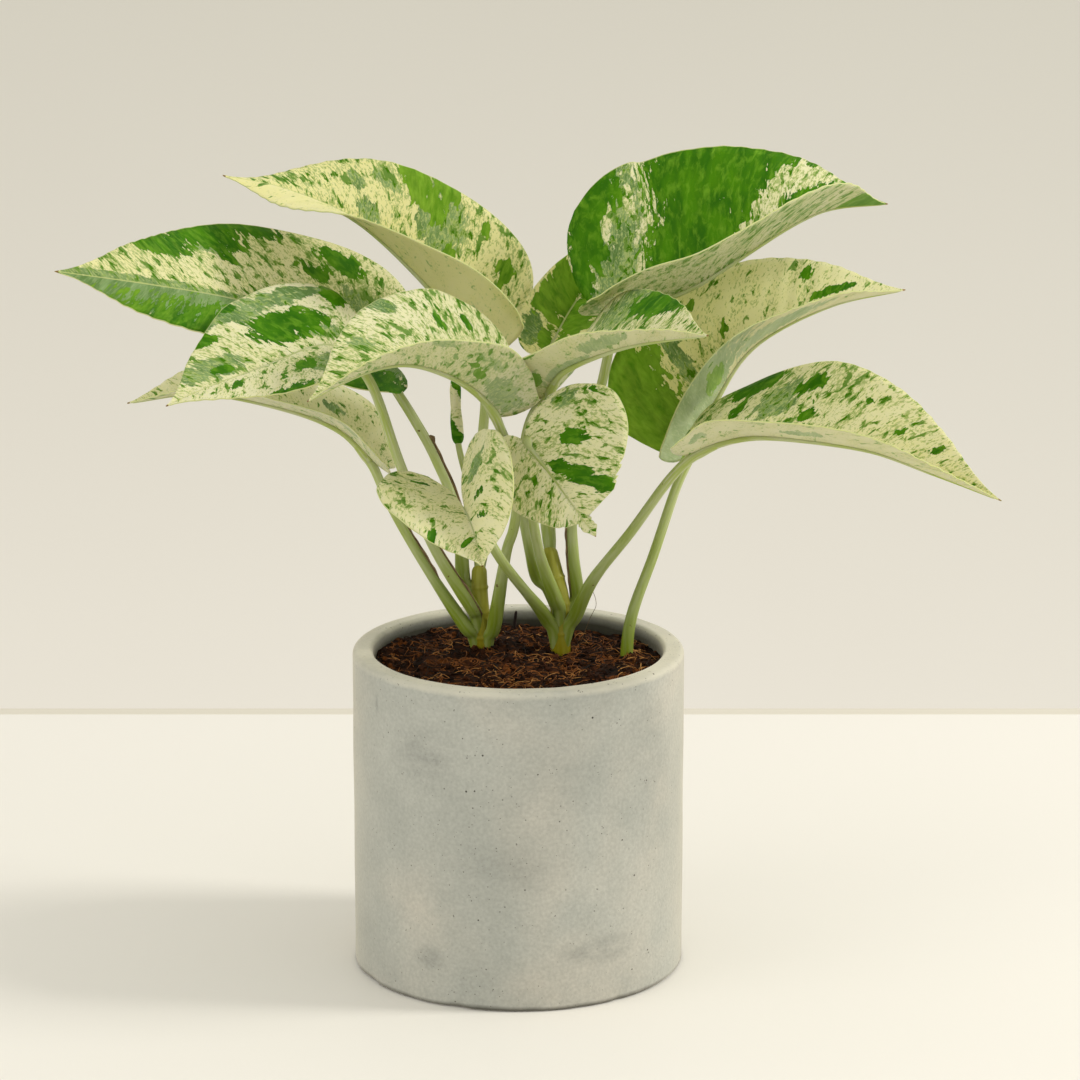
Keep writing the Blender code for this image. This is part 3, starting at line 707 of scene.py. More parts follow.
def leaf_tissue(name, cream, grey, deep, fleck, roughness, veil):
    """veil: how much a pale grey skin covers the colours, from 0 to 1."""
    mat, tree = new_material(name)
    flow = add(tree, "UVMap", output="UV", uv_map="flow")
    field = {mark: add(tree, "Attribute", output="Fac", attribute_name=mark) for mark in MARKS}
    wide = stretched_noise(tree, flow, 1.6, 0.7, 3.0, 0.0)
    frayed = stretched_noise(tree, flow, 5.5, 1.6, 4.0, 5.0, 0.6)
    blots = stretched_noise(tree, flow, 4.6, 2.5, 5.0, 11.0, 0.6)
    specks = stretched_noise(tree, flow, 15.0, 7.5, 4.0, 31.0, 0.65)
    hairlines = stretched_noise(tree, flow, 20.0, 3.0, 2.0, 17.0)
    grain = stretched_noise(tree, flow, 34.0, 22.0, 2.0, 23.0)

    # the cream has faint yellow clouds and is warmer on some leaves
    ground = coated(tree, cream[0], (wide, 0.35, 0.65, cream[1]), (field["warm_and_lit"], 0.0, 1.0, cream[2]))
    # thin grey-green zones: sharp but frayed edges, uneven inside
    grey_sum = summed(tree, -1.6, (field["grey"], 0.8), (blots, 1.2), (frayed, 1.5))
    grey_tone = coated(tree, grey[0], (wide, 0.4, 0.6, grey[1]), (hairlines, 0.5, 0.8, grey[2]))
    # flecks of all sizes: their share follows the field and wide clouds
    share = summed(tree, -0.88, (field["fleck"], 0.17), (wide, 0.34))
    speck_sum = summed(tree, share, (specks, 1.0))
    fleck_sum = summed(tree, share, (blots, 1.0))
    fleck_tone = coated(tree, fleck[2], (frayed, 0.46, 0.54, fleck[3]))
    # deep patches: sharp, frayed edges and soft lighter blots inside, lighter still where the cream is warm:
    # partly the leaf's own tone, partly painted light on blades in the shade of other leaves
    deep_sum = summed(tree, -1.55, (field["deep"], 0.8), (blots, 1.1), (frayed, 1.6))
    deep_part = add(tree, "MapRange", {"Value": deep_sum, "From Max": 0.05})
    # lighter green where the cream is warm: partly painted light for blades in other leaves' shade
    lighter_tone_and_painted_light = summed(tree, -1.0, (field["warm_and_lit"], 1.0), (frayed, 1.2))
    deep_tone = coated(tree, deep[0], (wide, 0.4, 0.62, deep[1]), (blots, 0.48, 0.74, deep[2]),
                       (lighter_tone_and_painted_light, -0.1, 0.7, deep[3]))
    # then a pale midrib, a fine pale line at the margin, brown only at the very tip, and the veil
    dried = summed(tree, field["dry"], (frayed, 0.3))
    colour = coated(tree, ground,
                    (grey_sum, 0.0, 0.08, grey_tone),
                    (speck_sum, -0.05, -0.01, fleck[0]),
                    (fleck_sum, -0.03, 0.0, fleck[1]),
                    (fleck_sum, 0.01, 0.03, fleck_tone),
                    (deep_part, 0.0, 1.0, deep_tone),
                    (field["rib"], 0.68, 1.0, "b9c07c"),
                    (field["edge"], 0.99, 1.0, "c2c68e"),
                    (dried, 0.6, 0.8, "7a5a33"),
                    (veil, 0.0, 1.0, "b3ba98"))
    # relief: side veins about 6 mm apart and the fine cell grain
    veins = add(tree, "TexWave", {"Vector": flow, "Scale": 0.42, "Distortion": 0.7, "Detail": 1.0}, 1,
                wave_type="BANDS", bands_direction="X", wave_profile="SIN")
    relief = summed(tree, 0.0, (deep_part, 0.12), (veins, 0.7), (grain, 0.25))
    gloss = summed(tree, roughness, (hairlines, 0.16))
    close_material(tree, colour, {"Roughness": gloss, "IOR": 1.42, "Specular IOR Level": 0.1,
                                  "Subsurface Weight": 0.4, "Subsurface Radius": (1.0, 1.0, 0.4),
                                  "Subsurface Scale": 0.0015}, relief, 0.35, 0.6)
    return mat


leaf_top = leaf_tissue("leaf_upper_side", cream=("d7d4ae", "d1cea0", "dad594"),
                       grey=("5c7b42", "7b9560", "98ab7a"), deep=("2a6200", "427a00", "659420", "8db03a"),
                       fleck=("a0ad70", "8aa054", "65873a", "3d7000"), roughness=0.4, veil=0.0)
leaf_under = leaf_tissue("leaf_underside", cream=("c9c7a4", "c1bf94", "cbc488"),
                         grey=("8a9c6c", "9caa80", "adb890"), deep=("4b7a14", "5f8a22", "809c4c", "9ab24c"),
                         fleck=("a9b380", "9aaa74", "809a5c", "5c8428"), roughness=0.52, veil=0.08)
print("leaf materials:", leaf_top.name, leaf_under.name)

# %% [markdown]
# ## The shape of a blade
# Half of a blade's outline is drawn once, as a margin and as a lobe beside the petiole.
# The grid's points are spread between the midrib and that outline, then each half is
# lifted from flat by an angle that changes from base to tip, and laid along the midrib's
# own smooth line. Twelve leaves differ only in these few values.
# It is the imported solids' own formula with smaller steps, so the outlines agree, plus what
# the eye expects close up: a tip drawn out to a fine point, a groove over the midrib and
# soft quilting between side veins.


# %% Blade formula
MARGIN = ((0.0, 0.74), (0.05, 0.87), (0.13, 0.97), (0.24, 1.0), (0.42, 0.93), (0.6, 0.74),
          (0.78, 0.44), (0.88, 0.2), (0.945, 0.065), (1.0, 0.0))
LOBE = ((0.0, 0.0), (0.07, -0.55), (0.23, -0.95), (0.43, -1.0), (0.62, -0.72), (0.74, -0.25))
MARGIN_CURVE, _ = curve_through(MARGIN)
LOBE_CURVE, _ = curve_through(LOBE)
LOBE_FADE, WIDEST, FRAME_SPAN, WAVE_OFFSET = 1.6, 0.24, 0.05, 1.3
BLADE_THICKNESS = 0.4
SLIMMER = 0.99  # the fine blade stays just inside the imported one
VEIN_SPACING, VEIN_SLANT, VEIN_SLANT_GROWTH = 6.0, 0.15, 0.75
QUILT_HEIGHT, GROOVE_DEPTH, GROOVE_WIDTH = 0.22, 0.35, 1.3
TIP_END = 0.9985


def flat_point(u, t, lobe, belly, full):
    """Place of a grid point on a flat half blade: x across (half widths), y along (lengths)."""
    y_part, x_part = MARGIN_CURVE(t)
    x_part = blend(x_part, 1.0, full * max(0.0, 1.0 - y_part / WIDEST))
    scale = np.array([blend(1.0, 1.0 / LOBE[-1][0], full), lobe])
    lobe_end = np.array(LOBE[-1]) * scale
    edge = np.array([x_part, blend(lobe_end[1], 1.0, max(y_part, 0.0) ** belly)])
    rib = np.array([0.0, t])
    back = LOBE_CURVE(u) * scale - u * lobe_end
    return blend(rib, edge, u) + back * (1.0 - t) ** LOBE_FADE


class Blade:
    """A leaf blade folded along its midrib.

    midrib: points in mm from the petiole to the tip.  face, face_tip: the way the upper
    side looks at the base and at the tip.  left, right: for each half, its half width,
    its rise from flat in degrees at the base, the middle and the tip, and its belly.
    wave: height, number and start of the margin's waves.  lobe, full: how far the lobes
    reach back and how full they are.  nicks: tears, as side, place, depth and half span.
    """

    def __init__(self, midrib, face, left, right, face_tip=None, wave=(0.8, 1.6, 0.0), lobe=0.07,
                 full=0.0, nicks=()):
        self.at, self.length = curve_through(midrib)
        self.face = unit(np.array(face, float))
        self.face_tip = unit(np.array(face_tip or face, float))
        self.halves = {-1: left, 1: right}
        self.wave, self.lobe, self.full, self.nicks = wave, lobe, full, nicks

    def frame(self, part):
        ahead = direction(self.at, part, FRAME_SPAN)
        up = squared(blend(self.face, self.face_tip, part), ahead)
        return ahead, up, np.cross(ahead, up)

    def spread(self, s, t):
        """Side, half width in mm, and the place on the flat half blade, with its tears."""
        side = 1 if s >= 0 else -1
        half_width, *rises, belly = self.halves[side]
        x_part, y_part = flat_point(abs(s), t, self.lobe, belly, self.full)
        for nick_side, place, depth, span in self.nicks:
            if nick_side == side:
                x_part *= 1.0 - depth * max(0.0, 1.0 - abs(t - place) / span)
        return side, half_width, rises, x_part, y_part

    def vein_start(self, x_mm, y_part):
        """Where the side vein through a point leaves the midrib, in mm from the petiole."""
        return y_part * self.length - x_mm * (VEIN_SLANT + VEIN_SLANT_GROWTH * within(y_part))

    def point(self, s, t):
        side, half_width, rises, x_part, y_part = self.spread(s, t)
        part = within(y_part)
        ahead, up, right = self.frame(part)
        start = self.at(min(part, TIP_END)) + ahead * min(y_part, 0.0) * self.length
        rise = math.radians(through_three(rises, part))
        height, count, begin = self.wave
        turn = 2 * math.pi * (count * part + begin) + (side < 0) * WAVE_OFFSET
        x_mm = SLIMMER * x_part * half_width
        out = x_mm * math.cos(rise)
        lift = x_mm * math.sin(rise) + height * x_part ** 2 * math.sin(turn)
        quilt = math.cos(2 * math.pi * self.vein_start(x_mm, y_part) / VEIN_SPACING)
        quilt *= QUILT_HEIGHT * math.sin(math.pi * min(x_part, 1.0))
        groove = GROOVE_DEPTH * math.exp(-(x_mm / GROOVE_WIDTH) ** 2)
        return start + right * side * out + up * (lift + quilt - groove)


half_outline = [tuple(np.round(flat_point(1.0, t, 0.07, 1.0, 0.0), 2)) for t in (0, 0.5, 1)]
print("a blade's half outline:", half_outline)

# %% [markdown]
# ## The twelve leaves
# Each leaf gets its values and a few words on its colours. A patch is a soft ellipse in leaf
# coordinates: the half (left -1, right 1), where its side vein leaves the midrib, in parts of
# the length, how far out on that vein it lies, in parts of the half width, and its two half
# sizes. Deep patches turn green, grey ones grey-green, and cream ones clear both away.
# The fleck values say how many small flecks the left and the right half have, from 0 to 1,
# and the warmth values how yellow the cream, and how light the green, is at the base and at the tip;
# the lighter green is partly painted light, for blades that lie in the shade of other leaves.
# The grid is cut into 24 by 64 faces, and Solidify gives it a thickness of 0.4 mm with the
# underside's own material.


# %% Leaf builder
CELLS_PER_HALF, CELLS_ALONG = 12, 64
CREAM_CLEARS = 2.0
RIB_WIDTH, RIB_NARROWING = 2.4, 1.5
DRY_TIP = 0.0225


def patch_value(patches, side, start, out, outside=-1.0):
    """The highest soft ellipse over a place: 1 in a patch's middle, 0 at its edge."""
    value = outside
    for patch_side, patch_start, patch_out, half_start, half_out in patches:
        if patch_side == side or (out < 0.08 and half_out > 0.5):
            reach = ((start - patch_start) / half_start) ** 2 + ((out - patch_out) / half_out) ** 2
            value = max(value, 1.0 - reach)
    return value


def build_leaf(name, blade, deep=(), grey=(), cream=(), fleck=(0.5, 0.5), warm_and_lit=(0.0, 0.0), seed=0.0):
    def leaf_place(x, t):
        side, half_width, _, x_part, y_part = blade.spread(x, t)
        x_mm = x_part * half_width
        return side, x_mm, blade.vein_start(x_mm, y_part), x_part, y_part

    def patched(patches, x, t):
        side, _, start, x_part, _ = leaf_place(x, t)
        cleared = max(0.0, patch_value(cream, side, start / blade.length, x_part, 0.0))
        return patch_value(patches, side, start / blade.length, x_part) - CREAM_CLEARS * cleared

    def flow(x, t):
        side, x_mm, start, _, _ = leaf_place(x, t)
        return start / 10 + seed, side * x_mm / 10

    def rib_share(x, t):
        _, x_mm, _, _, y_part = leaf_place(x, t)
        return max(0.0, 1 - x_mm / (RIB_WIDTH - RIB_NARROWING * within(y_part)))

    marks = {
        "deep": lambda x, t: patched(deep, x, t),
        "grey": lambda x, t: patched(grey, x, t),
        "fleck": lambda x, t: fleck[0] if x < 0 else fleck[1],
        "warm_and_lit": lambda x, t: blend(*warm_and_lit, t),
        "rib": rib_share,
        "edge": lambda x, t: abs(x),
        "dry": lambda x, t: max(0.0, 1 - (1 - t) / DRY_TIP),
    }
    mesh = shaped_grid("blade_" + name, 2 * CELLS_PER_HALF, CELLS_ALONG, blade.point, flow, marks=marks)
    obj = piece(mesh, [leaf_top, leaf_under], "leaf", "leaf_" + name)
    thicken(obj, BLADE_THICKNESS).material_offset = 1
    return obj


print("each blade has", 2 * CELLS_PER_HALF * CELLS_ALONG, "cells")

# %% [markdown]
# ## Where each blade goes
# All lengths are in mm and all rises in degrees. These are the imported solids' own values, so
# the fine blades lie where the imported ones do, apart from the torn leaf's finer tears.

# %% Blades
BLADES = {
    "top_left": Blade(
        midrib=[(-12, 30, 201), (-27, 33, 220), (-52, 38, 243), (-76, 40, 254), (-98, 40, 259)],
        face=(0.1, -0.3, 0.95), left=(33, 78, 38, -24, 0.9), right=(34, 5, 42, -40, 1.15), lobe=0.03,
        wave=(1.2, 1.5, 0.1)),
    "left": Blade(
        midrib=[(-44, 32, 198), (-69, 28, 212), (-93, 15, 222), (-118, -2, 230), (-148, -15, 237)],
        face=(0, -0.45, 0.9), left=(30, 15, -5, -25, 1), right=(36, 14, 17, 20, 1), wave=(1.0, 1.8, 0.5)),
    "left_front": Blade(
        midrib=[(-55, -3, 209), (-65, -8, 211), (-82, -28, 208), (-97, -42, 205), (-110, -52, 201)],
        face=(0.28, -0.31, 0.91), left=(28, 20, 17.5, 15, 1), right=(27, 15, 16.5, 18, 1),
        wave=(1.3, 2.0, 0.2)),
    "front_left": Blade(
        midrib=[(-6, -8, 188), (-12, -16, 197), (-22, -28, 206), (-35, -40, 212), (-48, -54, 212),
                (-65, -68, 206)],
        face=(0.0, -0.05, 1.0), left=(20, 40, 38, 36, 0.75), right=(33, 70, 45, 32, 1.15), lobe=0.03,
        wave=(1.2, 1.7, 0.6)),
    "centre_right": Blade(
        midrib=[(9, -4, 194), (14, -10, 203), (26, -21, 211), (39, -32, 217), (60, -49, 223)],
        face=(0, 0, 1.0), face_tip=(0.4, 0.1, 0.9), left=(26, 28, 54, 80, 0.75),
        right=(19, 32, 10, 26, 0.9), wave=(1.4, 1.6, 0.45)),
    "top_right": Blade(
        midrib=[(30, 22, 216), (55, 21, 224), (72, 22, 234), (89, 26, 244), (103, 32, 249), (123, 42, 249)],
        face=(0, -0.41, 0.91), left=(48, 47, 29, 12, 0.9), right=(36, 48, 56, 64, 0.9), lobe=0.08,
        wave=(1.2, 1.5, 0.0)),
    "right_upper": Blade(
        midrib=[(55, 21, 167), (65, 21, 187), (78, 23, 205), (103, 29, 217), (129, 37, 221)],
        face=(-0.8, -0.39, 0.46), face_tip=(-0.28, -0.39, 0.88), left=(37, 58, 26, 20, 0.9),
        right=(24, 58, 49, 40, 1), lobe=0.02, wave=(1.4, 1.8, 0.7)),
    "right_lower": Blade(
        midrib=[(55, -16, 177), (66, -18, 182), (80, -24, 185), (110, -38, 184), (130, -44, 178),
                (153, -50, 170)],
        face=(0, -0.22, 0.97), left=(32, -6, 43, 62, 1.1), right=(27, 34, 37, 40, 1), lobe=0.02,
        wave=(1.0, 1.5, 0.3)),
    "small_front_left": Blade(
        midrib=[(-17, -28, 162), (-14, -41, 158), (-11, -52, 149)],
        face=(-0.1, -0.5, 0.85), left=(30, 60, 50, 34, 1), right=(31, 30, 26, 20, 1), lobe=0.58, full=0.65,
        wave=(1.0, 1.6, 0.25)),
    "small_front_right": Blade(
        midrib=[(3, -18, 181), (11, -26, 172), (16, -31, 166), (25, -38, 155)],
        face=(-0.1, -0.9, 0.3), left=(33, 5, 5, 5, 1), right=(18, -15, -2.5, 10, 1), lobe=0.2, full=0.4,
        nicks=((-1, 0.56, 0.07, 0.015), (-1, 0.62, 0.12, 0.02), (-1, 0.66, 0.08, 0.012),
               (-1, 0.79, 0.83, 0.07), (-1, 0.85, 0.72, 0.07), (-1, 0.9, 0.4, 0.05),
               (1, 0.72, 0.2, 0.02), (1, 0.79, 0.66, 0.06), (1, 0.85, 0.45, 0.06))),
    "back_centre": Blade(
        midrib=[(10, 41, 199), (18, 46, 213), (28, 50, 225), (44, 54, 235)],
        face=(-0.3, -0.9, 0.2), left=(15, 20, 20, 20, 1), right=(20, 45, 37.5, 30, 1)),
    "left_low": Blade(
        midrib=[(-48, 33, 163), (-60, 35, 174), (-80, 37, 181), (-107, 40, 185), (-132, 43, 181)],
        face=(0, -0.1, 1.0), left=(24, 30, 25, 20, 1), right=(26, 0, 17.5, 35, 1)),
}
print("blades:", ", ".join(f"{name} {blade.length:.0f} mm" for name, blade in BLADES.items()))

# %% [markdown]
# ## Colours of each leaf
# The patches below were placed leaf by leaf: the big green sail at the top right,
# the half-green leaf at its left, and the creamy, flecked ones in front.

# %% Build the leaves
COLOURS = {
    "top_left": dict(
        deep=[(1, 0.38, 0.7, 0.05, 0.25), (1, 0.3, 0.86, 0.05, 0.18), (1, 0.32, 0.6, 0.03, 0.2),
              (1, 0.09, 0.69, 0.03, 0.16), (1, 0.18, 0.81, 0.02, 0.09), (1, 0.25, 0.35, 0.03, 0.14)],
        grey=[(1, 0.3, 0.55, 0.1, 0.5), (1, 0.46, 0.52, 0.05, 0.12), (1, 0.55, 0.38, 0.03, 0.12),
              (1, 0.52, 0.15, 0.05, 0.14), (-1, 0.1, 0.3, 0.02, 0.16)],
        fleck=(0.35, 0.8), warm_and_lit=(0.4, 0.9), seed=3.0),
    "left": dict(
        deep=[(1, 0.6, 0.56, 0.16, 0.22), (1, 0.42, 0.75, 0.14, 0.24), (1, 0.3, 0.92, 0.12, 0.14),
              (1, 0.12, 0.8, 0.05, 0.16), (1, 0.39, 0.46, 0.03, 0.08), (1, 0.18, 0.6, 0.04, 0.12),
              (-1, 0.6, 1.04, 2.0, 0.99)],
        grey=[(-1, 0.5, 0.2, 0.9, 0.9), (1, 0.42, 0.57, 0.06, 0.1), (1, 0.05, 0.4, 0.12, 0.3)],
        fleck=(-2.0, 0.85), warm_and_lit=(0.0, 0.6), seed=7.0),
    "left_front": dict(
        deep=[(1, 0.2, 0.4, 0.19, 0.3), (1, -0.02, 0.76, 0.05, 0.14), (-1, 0.3, 0.36, 0.07, 0.16),
              (-1, 0.42, 0.39, 0.03, 0.08), (-1, 0.64, 0.2, 0.05, 0.1), (-1, 0.43, 0.84, 0.13, 0.24),
              (1, 0.56, 0.62, 0.12, 0.14), (1, 0.3, 0.9, 0.1, 0.1), (1, 0.64, 0.14, 0.07, 0.08)],
        grey=[(1, 0.4, 0.8, 0.42, 0.26), (1, 0.1, 0.25, 0.16, 0.15), (1, 0.66, 0.2, 0.22, 0.2),
              (-1, 0.2, 0.5, 0.14, 0.3), (1, 0.08, 0.85, 0.1, 0.12)],
        cream=[(1, 0.4, 0.62, 0.08, 0.1), (1, 0.42, 0.18, 0.08, 0.1)],
        fleck=(0.7, 0.75), seed=11.0),
    "front_left": dict(
        deep=[(-1, 0.28, 0.42, 0.04, 0.1), (-1, 0.22, 0.3, 0.04, 0.12), (1, 0.12, 0.75, 0.03, 0.1),
              (1, 0.25, 0.6, 0.03, 0.1)],
        grey=[(-1, 0.08, 0.3, 0.12, 0.34), (-1, 0.2, 0.6, 0.05, 0.16), (-1, 0.42, 0.8, 0.07, 0.16),
              (1, 0.6, 0.3, 0.06, 0.14), (1, 0.4, 0.7, 0.04, 0.14)],
        fleck=(0.85, 0.88), warm_and_lit=(0.0, 0.1), seed=17.0),
    "centre_right": dict(
        deep=[(-1, 0.56, 0.66, 0.2, 0.34), (1, 0.14, 1.0, 0.05, 0.14), (1, 0.05, 0.3, 0.05, 0.14)],
        grey=[(-1, 0.4, 0.7, 0.26, 0.4), (1, 0.45, 0.4, 0.16, 0.3), (1, 0.2, 0.1, 0.2, 0.14)],
        fleck=(0.95, 0.5), seed=23.0),
    "top_right": dict(
        deep=[(-1, 0.42, 0.85, 0.34, 1.0), (-1, 0.28, 0.2, 0.21, 0.5), (-1, -0.03, 0.7, 0.09, 0.5),
              (-1, 0.76, 0.0, 0.36, 0.27), (-1, -0.06, 0.4, 0.06, 0.4), (1, 0.9, 0.1, 0.12, 0.3)],
        grey=[(-1, 0.0, 0.5, 0.14, 0.9), (-1, 0.56, 0.42, 0.05, 0.12), (-1, 0.46, 0.62, 0.03, 0.12)],
        cream=[(-1, 0.49, 0.11, 0.045, 0.06), (-1, 0.55, 0.22, 0.05, 0.08), (-1, 0.62, 0.32, 0.07, 0.07),
               (-1, 0.72, 0.3, 0.08, 0.05), (-1, 0.06, 0.7, 0.01, 0.16),
               (-1, 0.01, 0.58, 0.014, 0.14), (-1, -0.03, 0.26, 0.014, 0.08)],
        fleck=(0.86, 0.95), seed=29.0),
    # this blade lies in the top right leaf's shade; its warmth lightens its green, which is partly painted
    # light
    "right_upper": dict(
        deep=[(-1, 0.0, 0.7, 0.19, 1.2), (-1, 0.27, 0.73, 0.02, 0.1), (-1, 0.36, 0.32, 0.02, 0.1),
              (-1, 0.61, 0.42, 0.03, 0.09), (1, 0.25, 0.42, 0.06, 0.3), (-1, 0.72, 0.15, 0.1, 0.06)],
        grey=[(-1, 0.21, 0.6, 0.035, 0.9), (1, 0.1, 0.5, 0.35, 1.0), (1, 0.5, 0.3, 0.2, 0.3)],
        cream=[(-1, 0.07, 0.62, 0.012, 0.025)], fleck=(0.58, 0.3), warm_and_lit=(0.74, 0.0), seed=31.0),
    "right_lower": dict(
        deep=[(-1, 0.1, 0.9, 0.06, 0.25), (-1, 0.26, 0.66, 0.05, 0.16), (-1, 0.32, 0.3, 0.03, 0.12),
              (-1, 0.1, 0.5, 0.03, 0.14), (-1, 0.46, 0.5, 0.02, 0.07), (-1, 0.6, 0.26, 0.02, 0.08),
              (-1, 0.72, 0.22, 0.02, 0.08)],
        grey=[(-1, 0.2, 0.5, 0.07, 0.35), (1, 0.36, 0.36, 0.08, 0.2), (1, 0.05, 0.6, 0.04, 0.2)],
        fleck=(0.8, 0.45), warm_and_lit=(0.0, 0.15), seed=37.0),
    "small_front_left": dict(
        deep=[(1, -0.42, 0.45, 0.05, 0.16), (1, 0.3, 0.5, 0.07, 0.08), (-1, 0.35, 0.2, 0.05, 0.11),
              (1, 0.6, 0.12, 0.05, 0.1), (-1, 0.1, 0.3, 0.05, 0.12)],
        grey=[(-1, -0.25, 0.45, 0.16, 0.3)], fleck=(0.6, 0.66), warm_and_lit=(0.0, 0.1), seed=41.0),
    "small_front_right": dict(
        deep=[(-1, 0.3, 0.12, 0.1, 0.13), (-1, 0.4, 0.24, 0.12, 0.17), (-1, 0.5, 0.38, 0.1, 0.17),
              (-1, 0.11, 0.41, 0.08, 0.18), (1, 0.25, 0.3, 0.05, 0.08), (-1, -0.1, 0.85, 0.03, 0.06)],
        grey=[(-1, -0.16, 0.55, 0.1, 0.2)], fleck=(0.82, 0.75), seed=43.0),
    # this blade lies in the shade behind top_left; its warmth lightens its green, which is partly painted
    # light
    "back_centre": dict(
        deep=[(-1, 0.32, 0.4, 0.2, 0.6), (1, 0.35, 0.4, 0.4, 0.6), (-1, 0.17, 0.75, 0.06, 0.2),
              (-1, 0.06, 0.2, 0.1, 0.2)],
        grey=[(-1, 0.05, 0.6, 0.12, 0.4)], fleck=(0.7, 0.6), warm_and_lit=(0.6, 0.55), seed=47.0),
    "left_low": dict(
        grey=[(-1, 0.1, 0.7, 0.05, 0.2), (1, 0.2, 0.4, 0.05, 0.16)], fleck=(0.6, 0.55), seed=53.0),
}
leaves = {name: build_leaf(name, blade, **COLOURS[name]) for name, blade in BLADES.items()}
print("leaf faces:", {name: len(obj.data.polygons) for name, obj in leaves.items()})

# %% [markdown]
# ## Green stalks
# Stems and petioles are juicy and smooth: pale green with long whitish streaks and pale clouds,
# partly the stalk's own streaks and partly a painted highlight, the lilac-grey sheen a petiole shows,
# and a darker, purer yellow-green near the soil, where the streaks fade. The streaks run along the stalk,
# so the same flow UV map is used, with the noise stretched along it. The colour near the soil
# comes from the height, which Object coordinates give, because every piece has its place in
# its mesh.


# %% Stalk material
GREEN_BELOW, PALE_ABOVE = 110.0, 165.0


def stalk_skin(name, low, high, pale_cloud_and_highlight, roughness):
    mat, tree = new_material(name)
    flow = add(tree, "UVMap", output="UV", uv_map="flow")
    place = add(tree, "TexCoord", output="Object")
    height = add(tree, "SeparateXYZ", {"Vector": place}, "Z")
    up = add(tree, "MapRange", {"Value": height, "From Min": GREEN_BELOW * MM, "From Max": PALE_ABOVE * MM})
    broad = stretched_noise(tree, flow, 0.35, 3.0, 2.0, 2.0)
    lines = stretched_noise(tree, flow, 0.9, 14.0, 2.0, 9.0)
    specks = add(tree, "TexNoise", {"Vector": place, "Scale": 420.0, "Detail": 1.0})
    cloud = add(tree, "MapRange", {"Value": broad, "From Min": 0.4, "From Max": 0.62})
    pale_clouds_and_highlight = add(tree, "Math", {0: cloud, 1: summed(tree, 0.4, (up, 0.6))}, operation="MULTIPLY")
    pale_lines_and_highlight = summed(tree, -0.72, (up, 0.2), (lines, 1.0))
    # pale clouds and whitish lines: partly the stalk's own streaks, partly a painted highlight, the
    # lilac-grey sheen of a petiole
    colour = coated(tree, low, (up, 0.0, 1.0, high), (pale_clouds_and_highlight, 0.0, 1.0, pale_cloud_and_highlight),
                    (pale_lines_and_highlight, 0.0, 0.28, "c5c4a6"), (specks, 0.76, 0.8, "6a5a30"))
    close_material(tree, colour, {"Roughness": roughness, "IOR": 1.42, "Specular IOR Level": 0.25,
                                  "Subsurface Weight": 0.25, "Subsurface Radius": (1.0, 1.0, 0.4),
                                  "Subsurface Scale": 0.002}, lines, 0.3)
    return mat


stalk = stalk_skin("petiole_skin", "76881c", "a2b05c", "b2b988", 0.38)
stem_skin = stalk_skin("stem_skin", "867e08", "9ca03c", "b2b258", 0.42)
print("stalk materials:", stalk.name, stem_skin.name)

# %% [markdown]
# ## Stems, petioles and midribs
# A petiole leaves its stem with a wide, clasping foot, gets slim half way, and swells a
# little again at the knee under the blade. From there it runs on under the leaf as the
# raised midrib and fades out at the tip. The tubes start inside the stem, so the joint
# has no gap, and fine ring-shaped scars sit on the stems where old leaves were.
# A petiole leaves its stem at a part of the stem's height, in a direction in degrees, and
# then passes the points of its way. A shape lists its radius in mm from foot to knee.

# %% Routes and thicknesses
STEMS = {
    "stem_left": dict(route=[(-12, 14, 84), (-12, 14, 104), (-13, 14, 118), (-13, 15, 132)], radius=3.2,
                      scars=(107.5, 116.0, 124.5)),
    "stem_middle": dict(route=[(14, 15, 84), (14, 15, 104), (14, 16, 117), (10, 20, 137)], radius=3.4,
                        scars=(108.5, 118.0, 127.0)),
}
STEM_TAPER = ((0.0, 1.0), (0.7, 1.0), (1.0, 0.75))
SCAR_HEIGHT, SCAR_WIDTH = 0.32, 0.5
PETIOLES = {
    "left_low": dict(stem="stem_left", part=0.5, turn=200, way=[(-30, 18, 129), (-42, 26, 148)]),
    "left_front": dict(stem="stem_left", part=0.66, turn=240,
                       way=[(-29, 9, 142), (-39, 3, 170), (-47, 0, 195)]),
    "left": dict(stem="stem_left", part=0.82, turn=170,
                 way=[(-20, 18, 148), (-28, 24, 167), (-35, 28, 179), (-42, 31, 190)]),
    "top_left": dict(stem="stem_left", way=[(-12, 20, 143), (-13, 24, 154), (-12, 26, 172), (-11, 28, 187)]),
    "centre_right": dict(stem="stem_left", part=0.5, turn=320,
                         way=[(-4, 2, 139), (-1, -3, 151), (2, -6, 177), (5, -6, 188)]),
    "front_left": dict(stem="stem_middle", part=0.74, turn=190,
                       way=[(4, 11, 138), (1, 8, 153), (-2, 2, 171)]),
    "small_front_left": dict(stem="stem_middle", part=0.48, turn=218,
                             way=[(7, 7, 119), (3, 0, 126), (-3, -12, 137), (-7, -19, 145),
                                  (-12, -24, 155)]),
    "small_front_right": dict(stem="stem_middle", part=0.62, turn=260, way=[(7, 3, 139), (4, -7, 160)]),
    "right_lower": dict(stem="stem_middle", part=0.5, turn=320,
                        way=[(25, 4, 130), (37, -4, 148), (48, -12, 166)]),
    "right_upper": dict(root=(36, 7, 86), way=[(36, 7, 103), (38, 9, 117), (45, 13, 136), (52, 19, 156)]),
    "top_right": dict(stem="stem_middle", part=0.6, turn=10,
                      way=[(18, 18, 135), (18, 20, 150), (23, 22, 174), (27, 23, 189), (30, 23, 204)]),
    "back_centre": dict(stem="stem_middle", way=[(9, 27, 155), (9, 34, 177)]),
}
KNEE = ((0.86, 1.6), (0.93, 1.85), (1.0, 1.2))
FOOT_SHAPE = ((0.0, 1.6), (0.07, 2.3), (0.14, 2.5), (0.38, 1.75), *KNEE)
